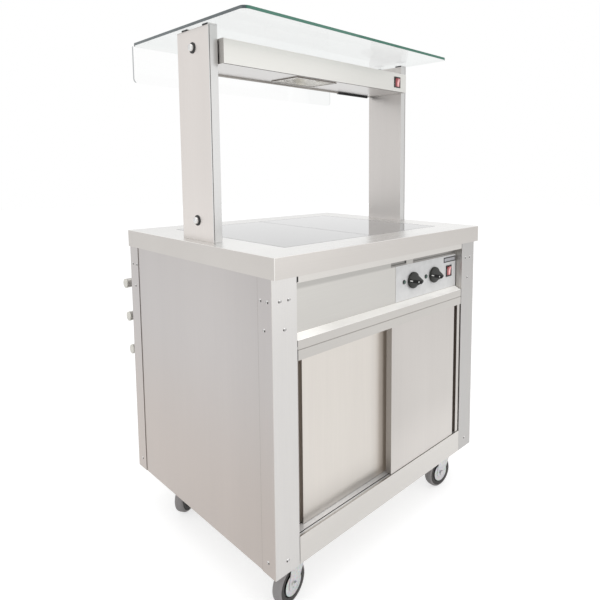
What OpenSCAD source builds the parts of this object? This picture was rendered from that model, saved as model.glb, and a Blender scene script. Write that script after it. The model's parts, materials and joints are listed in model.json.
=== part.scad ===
// Mobile hot cupboard: a heated cabinet on castors with two sliding doors, a
// two-panel hot top, a lamp gantry with a glass screen and a fold-down tray slide.
// Millimetres. X runs along the front, Y from the doors to the tray slide, Z up.

/* [Worktop] */
// Width of the worktop
top_w = 860; // [800:10:1000]
// Depth of the worktop
top_d = 746; // [720:2:820]
// Height of the working surface above the floor
top_h = 900; // [880:5:940]
// Height of the worktop's folded edge
skirt_h = 51; // [46:1:60]
// Thickness of the worktop sheet
top_t = 1.5; // [1.2:0.1:2]
// Width of the lip folded in under the edge
skirt_lip = 12; // [8:1:14]

/* [Hot top] */
// Width of one glass-ceramic panel
plate_w = 318; // [280:1:330]
// Depth of the panels
plate_d = 542; // [480:2:560]
// Thickness of the panels
plate_t = 5; // [4:0.5:6]
// Sealed gap around the panels
plate_gap = 2; // [1:0.5:4]
// Depth of the pan under the panels
pan_depth = 46; // [38:1:48]
// Sheet of the pan
pan_t = 1.5; // [1:0.1:2]
// Thickness of a heating mat
mat_t = 3; // [2:0.5:5]

/* [Cabinet] */
// Inset of the cabinet under the worktop at each side
side_inset = 1.4; // [1.4:0.2:5]
// Inset of the cabinet under the worktop at the front
front_inset = 15; // [13:1:20]
// Inset of the cabinet under the worktop at the back
back_inset = 8; // [5:1:14]
// Height of the cabinet's lower edge above the floor
base_h = 125; // [122:1:127]
// Width of a corner post's front face
leg_face_w = 73.5; // [60:0.5:80]
// Width of a corner post's side flange
leg_side_w = 52; // [45:1:60]
// Sheet of the corner posts
leg_t = 1.5; // [1.2:0.1:2]
// Sheet of the outer panels
panel_t = 1.2; // [0.8:0.1:1.5]
// Thickness of the insulation around the liner
wool_t = 25; // [20:1:30]
// Sheet of the liner
liner_t = 1; // [0.8:0.1:1.2]
// Length of fold at the panels' edges
fold = 14; // [10:1:18]
// Distance of the upper rivets below the worktop's edge
rivet_drop = 54; // [44:2:60]
// Distance of the single rivet below the upper pair
rivet_step = 68; // [50:2:90]
// Height of the lowest rivets above the cabinet's lower edge
rivet_rise = 33; // [24:1:50]
// Distance between the two rivets of a pair
rivet_pair = 26; // [20:1:30]

/* [Front] */
// Visible height of the rail under the worktop
rail_h = 20; // [16:1:26]
// Height of the set-back fascia
fascia_h = 128; // [120:1:134]
// Depth by which the fascia is set back
recess = 24; // [20:1:28]
// Height of the reveal strip above the control plate
reveal_h = 20; // [18:1:22]
// Height of the slots in the reveal strip
vent_h = 11; // [6:1:14]
// Rise of the sloping ledge below the fascia
ledge_rise = 10; // [6:1:14]
// Height of the ledge's front lip
lip_h = 22; // [16:1:26]
// Open joint between the front rails
joint_gap = 2; // [1:0.5:3]
// Height of the rail above the doors
head_h = 25; // [22:1:30]
// Height of the rail below the doors
plinth_h = 72; // [68:1:80]
// Gap at each end of a front rail
rail_gap = 1.8; // [1:0.2:3]
// Sheet of the front rails
rail_t = 1.2; // [1:0.1:1.5]

/* [Doors] */
// Thickness of a door
door_t = 20; // [18:1:22]
// Gap between a closed door and the corner post
door_gap = 5; // [3:0.5:7]
// Overlap of the doors at the middle
door_overlap = 8; // [4:1:20]
// Set-back of the front door behind the rails
door_inset = 2.5; // [2:0.1:3]
// Clear space between the two doors
door_space = 6.5; // [5:0.5:8]
// Sheet of the doors
door_sheet = 1; // [0.8:0.1:1.2]
// Width of the rim beside the finger pull
rim_w = 14.5; // [12:0.5:20]
// Width of the finger pull
pull_w = 18; // [15:0.5:24]
// Depth of the finger pull
pull_d = 14; // [11:0.5:14]
// Running gap under a door
door_lift = 1; // [0.6:0.1:1.5]
// Hidden height of a door behind the head rail
door_tuck = 13; // [10:1:14]
// Thickness of a door guide blade
blade_t = 2.4; // [2:0.1:3]
// Gap beside a door guide blade
blade_gap = 0.5; // [0.3:0.1:0.8]
// Travel of each door
door_travel = 335; // [250:5:345]

/* [Cupboard] */
// Thickness of the shelf
shelf_t = 14; // [12:1:20]
// Share of the cupboard's height below the shelf
shelf_at = 0.48; // [0.35:0.01:0.6]
// Width of a shelf runner
runner_w = 15; // [12:1:20]
// Gap at each end of the shelf
shelf_gap = 2; // [1:0.5:4]
// Gap in front of the shelf and behind it
shelf_back_gap = 26; // [20:1:40]
// Length of a slot in the shelf
shelf_slot_l = 28; // [20:1:40]
// Width of a slot in the shelf
shelf_slot_w = 8; // [5:0.5:12]
// Height of the heater space under the perforated cover
heater_h = 34; // [30:1:38]
// Diameter of the heating element
element_d = 8.5; // [8:0.1:10]
// Radius of the heating element's bend
element_bend = 110; // [90:5:125]
// Distance of the heating element inside the liner's sides
element_in = 120; // [115:5:150]
// Length of the heating element's terminal box
element_box = 46; // [36:2:60]
// Rows of slots in the element cover
cover_rows = 3; // [2:1:5]
// Slots in one row of the element cover
cover_slots = 8; // [4:1:12]

/* [Controls] */
// Height of the control axes below the top of the control plate
control_drop = 51; // [46:1:54]
// Distance of the first lamp from the control plate's left end
lamp_in = 38; // [30:1:45]
// Distance between a lamp and its knob
lamp_to_knob = 41; // [38:1:44]
// Distance between the two knobs
knob_pitch = 109; // [100:1:112]
// Distance of the main switch from the control plate's right end
switch_in = 41.3; // [34:0.1:45]
// Length of the control plate
plate_l = 314.3; // [308:0.1:330]
// Thickness of the control plate
label_t = 0.8; // [0.5:0.1:1.5]
// Diameter of a knob
knob_d = 50; // [44:1:52]
// Height of a knob's body
knob_h = 10; // [9:1:18]
// Height of the grip above a knob's body
grip_h = 3; // [2:1:8]
// Reach of a knob's pointer from its axis
pointer_r = 44; // [36:1:46]
// Gap between a knob and the control plate
knob_gap = 1.2; // [0.8:0.1:2]
// Width of a thermostat's body
thermostat_w = 40; // [34:1:44]
// Height of a thermostat's body
thermostat_h = 36; // [30:1:40]
// Depth of a thermostat's body
thermostat_d = 26; // [20:1:28]
// Diameter of a control spindle
spindle_d = 6; // [5:0.5:8]
// Running clearance of a spindle in its bush
spindle_clear = 0.05; // [0.03:0.01:0.08]
// Angle of the pointers at rest, above the horizontal
knob_rest = -14; // [-30:1:10]
// Diameter of a pilot lamp's lens
lamp_d = 10; // [8:0.5:12]
// Width of a rocker switch
switch_w = 30; // [26:1:32]
// Height of a rocker switch
switch_h = 37; // [34:1:42]
// Tilt of a rocker to each side
rocker_tilt = 8; // [5:1:9]

/* [Gantry] */
// Inset of the posts' outer faces from the worktop's sides
post_inset = 30.25; // [15:0.25:50]
// Thickness of a post across the cabinet
post_w = 26.3; // [24:0.1:32]
// Depth of a post along the cabinet
post_d = 156; // [130:1:180]
// Height of the posts' tops above the worktop
post_h = 556; // [500:1:600]
// Sheet of the posts
post_t = 1.5; // [1.2:0.1:2]
// Width of the seam down each post
seam_w = 1.6; // [1:0.2:2.5]
// Height of the lamp housing
beam_h = 63; // [56:1:72]
// Distance from the posts' tops down to the housing's top
beam_drop = 32; // [26:1:40]
// Reach of the housing in front of the posts
beam_out = 24; // [16:1:34]
// Gap between the housing's ends and the posts
beam_gap = 2.4; // [1.5:0.1:3]
// Diameter of the post bolts' heads
bolt_d = 25; // [20:1:28]
// Height of the lower post bolts above the worktop
bolt_low = 54.6; // [45:0.2:70]
// Distance of the upper post bolts below the posts' tops
bolt_high = 47.8; // [44:0.2:60]
// Distance of the gantry switch from the housing's right end
beam_switch_in = 49; // [40:0.5:70]

/* [Lamp] */
// Left edge of the lamp pocket
pocket_x0 = -104; // [-130:1:-90]
// Right edge of the lamp pocket
pocket_x1 = 50; // [40:1:120]
// Depth of the lamp pocket along the cabinet
pocket_d = 116; // [90:1:130]
// Height of the lamp pocket
pocket_h = 36; // [30:1:44]
// Diameter of the lamp's tube
tube_d = 11; // [9:0.5:14]
// Height of the frame round the lamp pocket's mouth
frame_h = 3; // [2:0.5:4]
// Width of the frame's strip
frame_w = 4; // [3:0.5:6]
// Length of the dark strip under the housing's rear edge
strip_l = 155; // [100:5:200]
// Distance of that strip from the housing's right end
strip_in = 13; // [8:1:40]

/* [Glass] */
// Thickness of the glass
glass_t = 8; // [6:1:10]
// Reach of the glass beyond the posts' outer faces
glass_over = 9.75; // [4:0.25:20]
// Reach of the top glass in front of the middle of the worktop
glass_front = 249; // [220:1:300]
// Reach of the top glass behind the middle of the worktop
glass_rear = 337; // [300:1:370]
// Height of the screen at the back, top glass included
glass_drop = 117; // [90:1:200]
// Radius of the glass corners
glass_r = 18; // [10:1:30]
// Thickness of the pads under the glass
pad_t = 4; // [3:0.5:6]
// Length of a pad
pad_l = 27; // [20:1:32]

/* [Tray slide] */
// Distance of the hinge behind the cabinet's back
hinge_out = 25; // [24:0.5:30]
// Distance of the hinge below the worktop's surface
hinge_drop = 85; // [80:1:100]
// Lean of the folded slide towards the cabinet
slide_lean = 7.5; // [5:0.1:7.6]
// Distance along the arm from the hinge to the first tube
tube_first = 90; // [80:1:100]
// Distance of the tubes' line outside the hinge
tube_stand = 43; // [42:1:50]
// Distance between the tubes
tube_pitch = 107.5; // [80:0.5:110]
// Diameter of the tubes
rail_d = 30; // [25:1:32]
// Wall of the tubes
rail_wall = 1.5; // [1.2:0.1:2.5]
// Length of the tubes over their caps
slide_w = 852; // [760:2:860]
// Distance of the arms from the middle
arm_x = 300; // [220:5:340]
// Thickness of an arm
arm_t = 6; // [5:0.5:8]
// Half width of an arm
arm_r = 20; // [18:1:22]

/* [Castors] */
// Distance of the castors' swivels inside the cabinet's sides
castor_in = 98; // [90:0.2:120]
// Distance of the front castors' swivels behind the cabinet's front
castor_front_in = 54; // [48:1:70]
// Distance of the rear castors' swivels in front of the cabinet's back
castor_rear_in = 144; // [65:1:165]
// Length of a castor's top plate
castor_plate_l = 92; // [84:1:100]
// Width of a castor's top plate
castor_plate_w = 72; // [66:1:80]
// Diameter of a wheel
wheel_d = 100; // [98:1:102]
// Width of a wheel
wheel_w = 28; // [25:1:32]
// Trail of a wheel behind its swivel
trail = 20; // [18:1:28]
// Running clearance of a wheel on its axle
wheel_clear = 0.06; // [0.04:0.01:0.08]

/* [Hidden] */
$fn = 48;
eps = 0.01;

// Cabinet planes
half_w = top_w / 2;
body_x = half_w - side_inset;
front_y = -top_d / 2 + front_inset;
back_y = top_d / 2 - back_inset;
skirt_z = top_h - skirt_h;
sheet_z = top_h - top_t;
open_x = body_x - leg_face_w;
rail_x = open_x - rail_gap;
panel_x = body_x - leg_t;
panel_back_y = back_y - leg_t;

// Levels of the front, from the top down
rail_z = skirt_z - rail_h;
fascia_z = rail_z - fascia_h;
lip_top_z = fascia_z - ledge_rise;
lip_z = lip_top_z - lip_h;
head_z = lip_z - joint_gap;
open_z = head_z - head_h;
sill_z = base_h + plinth_h;
fascia_y = front_y + recess;

// Doors and tracks
front_door_y = front_y + door_inset;
rear_door_y = front_door_y + door_t + door_space;
door_x1 = open_x - door_gap;
door_x0 = -door_overlap / 2;
door_z0 = sill_z + door_lift;
door_z1 = open_z + door_tuck;
track_d = 6;

// Liner: outer faces
liner_x = panel_x - panel_t - wool_t;
liner_y0 = rear_door_y + door_t + door_space;
liner_y1 = panel_back_y - panel_t - wool_t;
liner_z0 = base_h + 9 + wool_t;
liner_z1 = lip_z + 4;
cover_z = liner_z0 + liner_t + heater_h;
shelf_z = cover_z + shelf_at * (liner_z1 - liner_t - cover_z);

// Base and castors
plate_z = base_h + 6;
castor_plate_t = 3;
castor_x = body_x - castor_in;
castor_front_y = front_y + castor_front_in;
castor_rear_y = back_y - castor_rear_in;
castor_bolt = [castor_plate_l / 2 - 10, castor_plate_w / 2 - 10];
wheel_r = wheel_d / 2;
crown_z = plate_z - castor_plate_t - 21;
king_r = 5;
axle_r = 5;
castor_rest = [10.2, -6.5, 30, 12];

// Hot top
cut_x = plate_w + plate_gap * 1.5;
cut_y = plate_d / 2 + plate_gap;
ledge_w = 14;
pan_z = top_h - plate_t - pan_depth + pan_t;

// Controls
control_z = rail_z - reveal_h - control_drop;
plate_x1 = rail_x - 1;
plate_x = plate_x1 - plate_l;
first_lamp_x = plate_x + lamp_in;
switch_x = plate_x1 - switch_in;
pointer_z = 6;
knob_x = [first_lamp_x + lamp_to_knob, first_lamp_x + lamp_to_knob + knob_pitch];
label_y = fascia_y - label_t;

// Switches
rocker_w = switch_w - 8;
rocker_half = (switch_h - 9) / 2;
rocker_pivot = 3;

// Mains inlet
gland_x = -200;
gland_z = skirt_z - 79;
gland_hole = 20;
gland_bore = 10;

// Gantry
post_x = half_w - post_inset;
post_in = post_x - post_w;
post_z = top_h + post_h;
beam_z1 = post_z - beam_drop;
beam_z0 = beam_z1 - beam_h;
beam_x = post_in - beam_gap;
beam_y0 = -post_d / 2 - beam_out;
beam_y1 = post_d / 2;
beam_t = 1.2;
seam_at = 2.6;
post_bolt_r = 5;
pocket_y = (beam_y0 + beam_y1) / 2;
reflector_z = beam_z0 + 2;
beam_switch_x = beam_x - beam_switch_in;
glass_z = post_z + pad_t;
glass_x = post_x + glass_over;

// Tray slide
hinge_y = back_y + hinge_out;
hinge_z = top_h - hinge_drop;
ear_t = 3;
ear_gap = 0.5;
pin_d = 8;
arm_neck = 18;
heel = hinge_y - panel_back_y - ear_t - 0.3;
buffer_r = 7;
buffer_at = tube_first + 2 * tube_pitch - 15;
buffer_z = hinge_z - buffer_at * cos(slide_lean) - (tube_stand - arm_r) * sin(slide_lean);
buffer_y = hinge_y - buffer_at * sin(slide_lean) + (tube_stand - arm_r) * cos(slide_lean)
    - buffer_r * tan(slide_lean) - 0.3;
function tube_y(i) = hinge_y - (tube_first + i * tube_pitch) * sin(slide_lean)
    + tube_stand * cos(slide_lean);
function tube_z(i) = hinge_z - (tube_first + i * tube_pitch) * cos(slide_lean)
    - tube_stand * sin(slide_lean);

// The origin is on the floor, under the middle of the whole object
home_y = (top_d / 2 - (tube_y(0) + arm_r)) / 2;

module home() {
    translate([0, home_y, 0]) children();
}

// A box given by two opposite corners
module box(a, b) {
    translate(a) cube(b - a);
}

module both_sides() {
    children();
    mirror([1, 0, 0]) children();
}

// A cylinder that lies along Y, from y0 to y1
module rod_y(r, y0, y1, x = 0, z = 0) {
    translate([x, y0, z]) rotate([-90, 0, 0]) cylinder(r = r, h = y1 - y0);
}

// A cylinder that lies along X, from x0 to x1
module rod_x(r, x0, x1, y = 0, z = 0) {
    translate([x0, y, z]) rotate([0, 90, 0]) cylinder(r = r, h = x1 - x0);
}

// An outline in the Y-Z plane, extruded along X from x0 to x1
module along_x(x0, x1) {
    translate([x0, 0, 0]) rotate([90, 0, 90]) linear_extrude(x1 - x0) children();
}

// Worktop with a cut-out for the two hot panels
module worktop() {
    color("gainsboro") home() difference() {
        box([-half_w, -top_d / 2, skirt_z], [half_w, top_d / 2, top_h]);
        box([-half_w + top_t, -top_d / 2 + top_t, skirt_z + top_t],
            [half_w - top_t, top_d / 2 - top_t, sheet_z]);
        box([-half_w + skirt_lip, -top_d / 2 + skirt_lip, skirt_z - 1],
            [half_w - skirt_lip, top_d / 2 - skirt_lip, skirt_z + top_t + 1]);
        box([-cut_x, -cut_y, sheet_z - 1], [cut_x, cut_y, top_h + 1]);
    }
}

module hot_plate(side) {
    x0 = plate_gap / 2;
    home() mirror([side < 0 ? 1 : 0, 0, 0])
        box([x0, -plate_d / 2, top_h - plate_t], [x0 + plate_w, plate_d / 2, top_h]);
}

module hot_plate_left() {
    color("dimgray") hot_plate(-1);
}

module hot_plate_right() {
    color("dimgray") hot_plate(1);
}

// Pan that carries the panels on a stepped rim and on a bar down the middle
module hot_top_pan() {
    seat_z = top_h - plate_t;
    wall_x = cut_x - ledge_w;
    wall_y = cut_y - ledge_w;
    color("silver") home() difference() {
        union() {
            box([-cut_x - 16, -cut_y - 16, sheet_z - pan_t], [cut_x + 16, cut_y + 16, sheet_z]);
            box([-cut_x - pan_t, -cut_y - pan_t, seat_z - pan_t],
                [cut_x + pan_t, cut_y + pan_t, sheet_z]);
            box([-wall_x - pan_t, -wall_y - pan_t, pan_z - pan_t],
                [wall_x + pan_t, wall_y + pan_t, seat_z]);
        }
        box([-cut_x, -cut_y, seat_z], [cut_x, cut_y, sheet_z + 1]);
        for (s = [0, 1]) mirror([s, 0, 0])
            box([7, -wall_y, seat_z - pan_t - eps], [wall_x, wall_y, seat_z + eps]);
        for (s = [0, 1]) mirror([s, 0, 0])
            box([pan_t / 2, -wall_y, pan_z], [wall_x, wall_y, seat_z - pan_t]);
    }
}

module hot_top_elements() {
    z1 = top_h - plate_t;
    x1 = cut_x - ledge_w;
    color("firebrick") home() both_sides() {
        box([9, -cut_y + ledge_w + 2, z1 - mat_t], [x1 - 2, cut_y - ledge_w - 2, z1]);
        box([x1 - 42, cut_y - ledge_w - 42, z1 - mat_t - 6], [x1 - 12, cut_y - ledge_w - 12, z1 - mat_t]);
    }
}

// Slabs of insulation: two under the hot panels and five around the liner
module insulation() {
    top_z1 = top_h - plate_t - mat_t - 7;
    x1 = cut_x - ledge_w;
    y1 = cut_y - ledge_w;
    color("khaki") home() {
        both_sides() box([pan_t, -y1 + 1, pan_z], [x1 - 1, y1 - 1, top_z1]);
        both_sides() box([liner_x, liner_y0 + liner_t, liner_z0],
            [panel_x - panel_t, liner_y1, liner_z1]);
        box([-liner_x, liner_y1, liner_z0], [liner_x, panel_back_y - panel_t, liner_z1]);
        box([-liner_x, liner_y0 + 12, liner_z1], [liner_x, liner_y1, liner_z1 + wool_t]);
        box([-liner_x, liner_y0 + 2, liner_z0 - wool_t], [liner_x, liner_y1, liner_z0]);
    }
}

// One corner post: a face, a side flange and a return that stands on the base sheet
module leg(return_d) {
    z1 = skirt_z;
    box([open_x, 0, base_h], [body_x, leg_t, z1]);
    box([body_x - leg_t, 0, base_h], [body_x, leg_side_w, z1]);
    box([open_x, 0, plate_z + 3], [open_x + leg_t, return_d, z1]);
}

module front_legs() {
    color("lightgray") home() both_sides() difference() {
        translate([0, front_y, 0]) leg(liner_y0 - front_y);
        rivet_set(true);
    }
}

module rear_legs() {
    color("lightgray") home() both_sides() difference() {
        translate([0, back_y, 0]) mirror([0, 1, 0]) leg(leg_t);
        rivet_set(true);
    }
}

module side_panel(side) {
    y0 = front_y + fold + leg_t;
    y1 = back_y - fold - leg_t;
    home() mirror([side < 0 ? 1 : 0, 0, 0])
        box([panel_x - panel_t, y0, base_h], [panel_x, y1, skirt_z]);
}

module side_panel_left() {
    color("silver") side_panel(-1);
}

module side_panel_right() {
    color("silver") side_panel(1);
}

module back_panel() {
    x1 = body_x - leg_t - fold;
    color("silver") home() difference() {
        box([-x1, panel_back_y - panel_t, base_h], [x1, panel_back_y, skirt_z]);
        rod_y(gland_hole / 2, panel_back_y - 5, panel_back_y + 5, gland_x, gland_z);
    }
}

// Base sheet, with edges turned down behind the panels
module base_pan() {
    x1 = panel_x - panel_t;
    y0 = front_y + rail_t;
    y1 = panel_back_y - panel_t;
    color("darkgray") home() difference() {
        box([-x1, y0, base_h], [x1, y1, plate_z + 3]);
        box([-x1 + 2, y0 + 2, base_h - 1], [x1 - 2, y1 - 2, plate_z]);
        both_sides() box([open_x, y0 - 1, base_h - 1], [x1 + 1, front_y + leg_t, plate_z + 4]);
    }
}

// Rail below the doors
module plinth_rail() {
    color("lightgray") home() along_x(-rail_x, rail_x) polygon([
        [front_y, base_h], [front_y, sill_z], [front_y + 6, sill_z], [front_y + 6, sill_z - rail_t],
        [front_y + rail_t, sill_z - rail_t], [front_y + rail_t, base_h]
    ]);
}

// Rail above the doors, which hides the top track
module head_rail() {
    color("lightgray") home() box([-rail_x, front_y, open_z], [rail_x, front_y + rail_t, head_z]);
}

// Sloping ledge below the fascia, with its front lip
module control_ledge() {
    y1 = fascia_y + rail_t;
    color("whitesmoke") home() along_x(-rail_x, rail_x) polygon([
        [front_y, lip_z], [front_y, lip_top_z], [fascia_y, fascia_z], [y1, fascia_z],
        [y1, fascia_z + 12], [y1 + rail_t, fascia_z + 12], [y1 + rail_t, fascia_z - rail_t],
        [fascia_y + rail_t / 2, fascia_z - rail_t], [front_y + rail_t, lip_top_z - rail_t],
        [front_y + rail_t, lip_z + rail_t], [front_y + 14, lip_z + rail_t], [front_y + 14, lip_z]
    ]);
}

// Rail under the worktop, with a soffit back to the fascia
module top_rail() {
    color("lightgray") home() along_x(-rail_x, rail_x) polygon([
        [front_y, rail_z], [front_y, sheet_z], [front_y + rail_t, sheet_z],
        [front_y + rail_t, rail_z + rail_t], [fascia_y + 6, rail_z + rail_t], [fascia_y + 6, rail_z]
    ]);
}

// Fascia with the control holes and two slots in its upper strip
module fascia_panel() {
    vent_z = rail_z - (reveal_h + vent_h) / 2;
    color("lightgray") home() difference() {
        box([-rail_x, fascia_y, fascia_z], [rail_x, fascia_y + rail_t, rail_z]);
        for (x = knob_x) rod_y(spindle_d / 2 + 2, fascia_y - 1, fascia_y + 3, x, control_z);
        for (x = knob_x) rod_y(lamp_d / 2 - 1, fascia_y - 1, fascia_y + 3, x - lamp_to_knob, control_z);
        box([switch_x - switch_w / 2 + 2, fascia_y - 1, control_z - switch_h / 2 + 2],
            [switch_x + switch_w / 2 - 2, fascia_y + 3, control_z + switch_h / 2 - 2]);
        box([plate_x - 22, fascia_y - 1, vent_z], [plate_x + 49, fascia_y + 3, vent_z + vent_h]);
        box([plate_x + 82, fascia_y - 1, vent_z], [rail_x - 4, fascia_y + 3, vent_z + vent_h]);
    }
}

module control_plate() {
    color("aliceblue") home() difference() {
        box([plate_x, label_y, fascia_z + 2], [plate_x1, fascia_y, rail_z - reveal_h]);
        for (x = knob_x) rod_y(spindle_d / 2 + 2, fascia_y - 3, fascia_y + 3, x, control_z);
        for (x = knob_x) rod_y(lamp_d / 2 - 1, fascia_y - 3, fascia_y + 3, x - lamp_to_knob, control_z);
        box([switch_x - switch_w / 2 + 2, fascia_y - 3, control_z - switch_h / 2 + 2],
            [switch_x + switch_w / 2 - 2, fascia_y + 3, control_z + switch_h / 2 - 2]);
    }
}

// Places its children on the control plate: local Z points out to the front
module on_plate(x, y = label_y) {
    translate([x, y, control_z]) rotate([90, 0, 0]) children();
}

// Thermostat bodies behind the fascia, each with a bush for its spindle
module thermostats() {
    color("dimgray") home() for (x = knob_x) on_plate(x) difference() {
        union() {
            translate([-thermostat_w / 2, -thermostat_h / 2, -label_t - rail_t - thermostat_d])
                cube([thermostat_w, thermostat_h, thermostat_d]);
            translate([0, 0, -label_t - rail_t - 1]) cylinder(r = spindle_d / 2 + 2, h = label_t + rail_t + 1);
        }
        translate([0, 0, -16]) cylinder(r = spindle_d / 2 + spindle_clear, h = 20);
    }
}

// Knob with a grip bar, a pointer and the spindle it turns
module knob(x) {
    home() on_plate(x) rotate([0, 0, knob_rest]) {
        translate([0, 0, knob_gap]) rotate_extrude() polygon([
            [0, 0], [knob_d / 2 - 1, 0], [knob_d / 2, 1], [knob_d / 2, knob_h - 4],
            [knob_d / 2 - 1.5, knob_h - 1.5], [knob_d / 2 - 3.5, knob_h], [0, knob_h]
        ]);
        translate([0, 0, pointer_z]) linear_extrude(knob_gap + knob_h - 1 - pointer_z) polygon([
            [10, -16], [pointer_r - 2, -4.5], [pointer_r, -3], [pointer_r, 3], [pointer_r - 2, 4.5], [10, 16]
        ]);
        translate([0, 0, knob_gap + knob_h - 1]) linear_extrude(grip_h + 1) polygon([
            [-knob_d / 2 + 4, -5], [-knob_d / 2 + 3, -4], [-knob_d / 2 + 3, 4], [-knob_d / 2 + 4, 5],
            [pointer_r - 14, 5], [pointer_r - 11, 3], [pointer_r - 11, -3], [pointer_r - 14, -5]
        ]);
        translate([0, 0, -14]) cylinder(d = spindle_d, h = 14 + knob_gap + 1);
    }
}

module knob_hot_top() {
    color("darkslategray") knob(knob_x[0]);
}

module knob_cupboard() {
    color("darkslategray") knob(knob_x[1]);
}

module pilot_lamps() {
    r = lamp_d / 2;
    color("limegreen") home() for (x = knob_x) on_plate(x - lamp_to_knob) {
        cylinder(r = r + 1, h = 1.8);
        translate([0, 0, 1.8]) intersection() {
            cylinder(r = r, h = r);
            translate([0, 0, 2.4 - r]) sphere(r = r + 0.5);
        }
        translate([0, 0, -20]) cylinder(r = r - 1, h = 20.5);
    }
}

// Body and bezel of a rocker switch, hollow for the rocker
module switch_body() {
    w = rocker_w / 2;
    h = rocker_half + 1.3;
    difference() {
        union() {
            translate([-switch_w / 2, -switch_h / 2, 0]) cube([switch_w, switch_h, 2.5]);
            translate([-w - 1.5, -h - 1, -22]) cube([rocker_w + 3, 2 * h + 2, 22 + eps]);
        }
        translate([-w - 0.3, -h, -12]) cube([rocker_w + 0.6, 2 * h, 16]);
        translate([0, 0, -rocker_pivot]) rotate([0, 90, 0])
            cylinder(r = 1.56, h = rocker_w + 2, center = true);
    }
}

// Rocker tilted to its ON side, with a pin on each end of its axis
module rocker() {
    w = rocker_w / 2;
    translate([0, 0, -rocker_pivot]) rotate([rocker_tilt, 0, 0]) {
        rotate([90, 0, 90]) translate([0, 0, -w]) linear_extrude(rocker_w) polygon([
            [-rocker_half, rocker_pivot + 3], [0, rocker_pivot + 1.4], [rocker_half, rocker_pivot + 3],
            [rocker_half, rocker_pivot - 2], [5, -5], [-5, -5], [-rocker_half, rocker_pivot - 2]
        ]);
        rotate([0, 90, 0]) cylinder(r = 1.5, h = rocker_w + 1.8, center = true);
    }
}

module on_beam() {
    translate([beam_switch_x, beam_y0, (beam_z0 + beam_z1) / 2]) rotate([90, 0, 0]) children();
}

module switch_bodies() {
    color("dimgray") home() {
        on_plate(switch_x) switch_body();
        on_beam() switch_body();
    }
}

module main_rocker() {
    color("crimson") home() on_plate(switch_x) rocker();
}

module lamp_rocker() {
    color("crimson") home() on_beam() rocker();
}

// Cable gland through the back panel, with a clear bore for a mains lead
module cable_gland() {
    y0 = panel_back_y - panel_t;
    color("dimgray") home() translate([gland_x, 0, gland_z]) difference() {
        union() {
            rod_y(gland_hole / 2, y0, panel_back_y);
            rod_y(gland_hole / 2 - 0.5, y0 - 12, y0 + eps);
            translate([0, y0 - 6, 0]) rotate([-90, 0, 0]) cylinder(r = 14, h = 6, $fn = 6);
            translate([0, panel_back_y, 0]) rotate([-90, 0, 0]) cylinder(r = 14, h = 6, $fn = 6);
            rod_y(11, panel_back_y, panel_back_y + 17);
            rod_y(9, panel_back_y + 16, panel_back_y + 20);
        }
        rod_y(gland_bore / 2, y0 - 20, panel_back_y + 30);
    }
}

module terminal_block() {
    y1 = panel_back_y - panel_t;
    color("ivory") home() difference() {
        box([gland_x + 50, y1 - 24, gland_z - 14], [gland_x + 126, y1, gland_z + 14]);
        for (i = [0:4]) rod_y(3, y1 - 30, y1 - 12, gland_x + 60 + i * 14, gland_z);
    }
}

// Liner of the cupboard: open at the front, with a flange and two shelf runners
module cupboard_liner() {
    ix = liner_x - liner_t;
    color("lightsteelblue") home() {
        difference() {
            box([-liner_x, liner_y0, liner_z0], [liner_x, liner_y1, liner_z1]);
            box([-ix, liner_y0 + liner_t, liner_z0 + liner_t],
                [ix, liner_y1 - liner_t, liner_z1 - liner_t]);
            box([-open_x, liner_y0 - 1, sill_z], [open_x, liner_y0 + 5, door_z1]);
        }
        both_sides() difference() {
            box([ix - runner_w, liner_y0 + shelf_back_gap - 6, shelf_z - shelf_t - 12],
                [ix, liner_y1 - shelf_back_gap + 6, shelf_z - shelf_t]);
            box([ix - runner_w - 1, liner_y0 + shelf_back_gap - 7, shelf_z - shelf_t - 13],
                [ix - 1.5, liner_y1 - shelf_back_gap + 7, shelf_z - shelf_t - 1.5]);
        }
    }
}

// Tubular element in the space under the cover, on clips and a terminal box
module cupboard_element() {
    r = element_d / 2;
    z0 = liner_z0 + liner_t;
    z = z0 + heater_h / 2 - 1;
    y = (liner_y0 + liner_y1) / 2;
    x = liner_x - element_in;
    bend = element_bend;
    color("saddlebrown") home() translate([0, y, 0]) {
        for (s = [-1, 1]) rod_x(r, -x, x, s * bend, z);
        translate([x, 0, z]) rotate([0, 0, -90]) rotate_extrude(angle = 180)
            translate([bend, 0]) circle(r = r);
        box([-x - element_box, -bend - 16, z0], [-x, bend + 16, z0 + heater_h - 8]);
        for (s = [-1, 1], i = [-0.4, 0.5]) box([i * x - 5, s * bend - 7, z0], [i * x + 5, s * bend + 7, z]);
    }
}

// Slotted floor of the cupboard, which stands on its own folded edges
module element_cover() {
    x1 = liner_x - liner_t - 2;
    y0 = liner_y0 + liner_t + 2;
    y1 = liner_y1 - liner_t - 2;
    px = 2 * x1 / (cover_slots + 1);
    py = (y1 - y0) / (cover_rows + 1);
    color("silver") home() difference() {
        box([-x1, y0, liner_z0 + liner_t], [x1, y1, cover_z]);
        box([-x1 + 1.2, y0 + 1.2, liner_z0], [x1 - 1.2, y1 - 1.2, cover_z - 1.2]);
        for (i = [1:cover_slots], j = [1:cover_rows])
            translate([-x1 + i * px - 16, y0 + j * py - 4, cover_z - 3]) cube([32, 8, 6]);
    }
}

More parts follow.
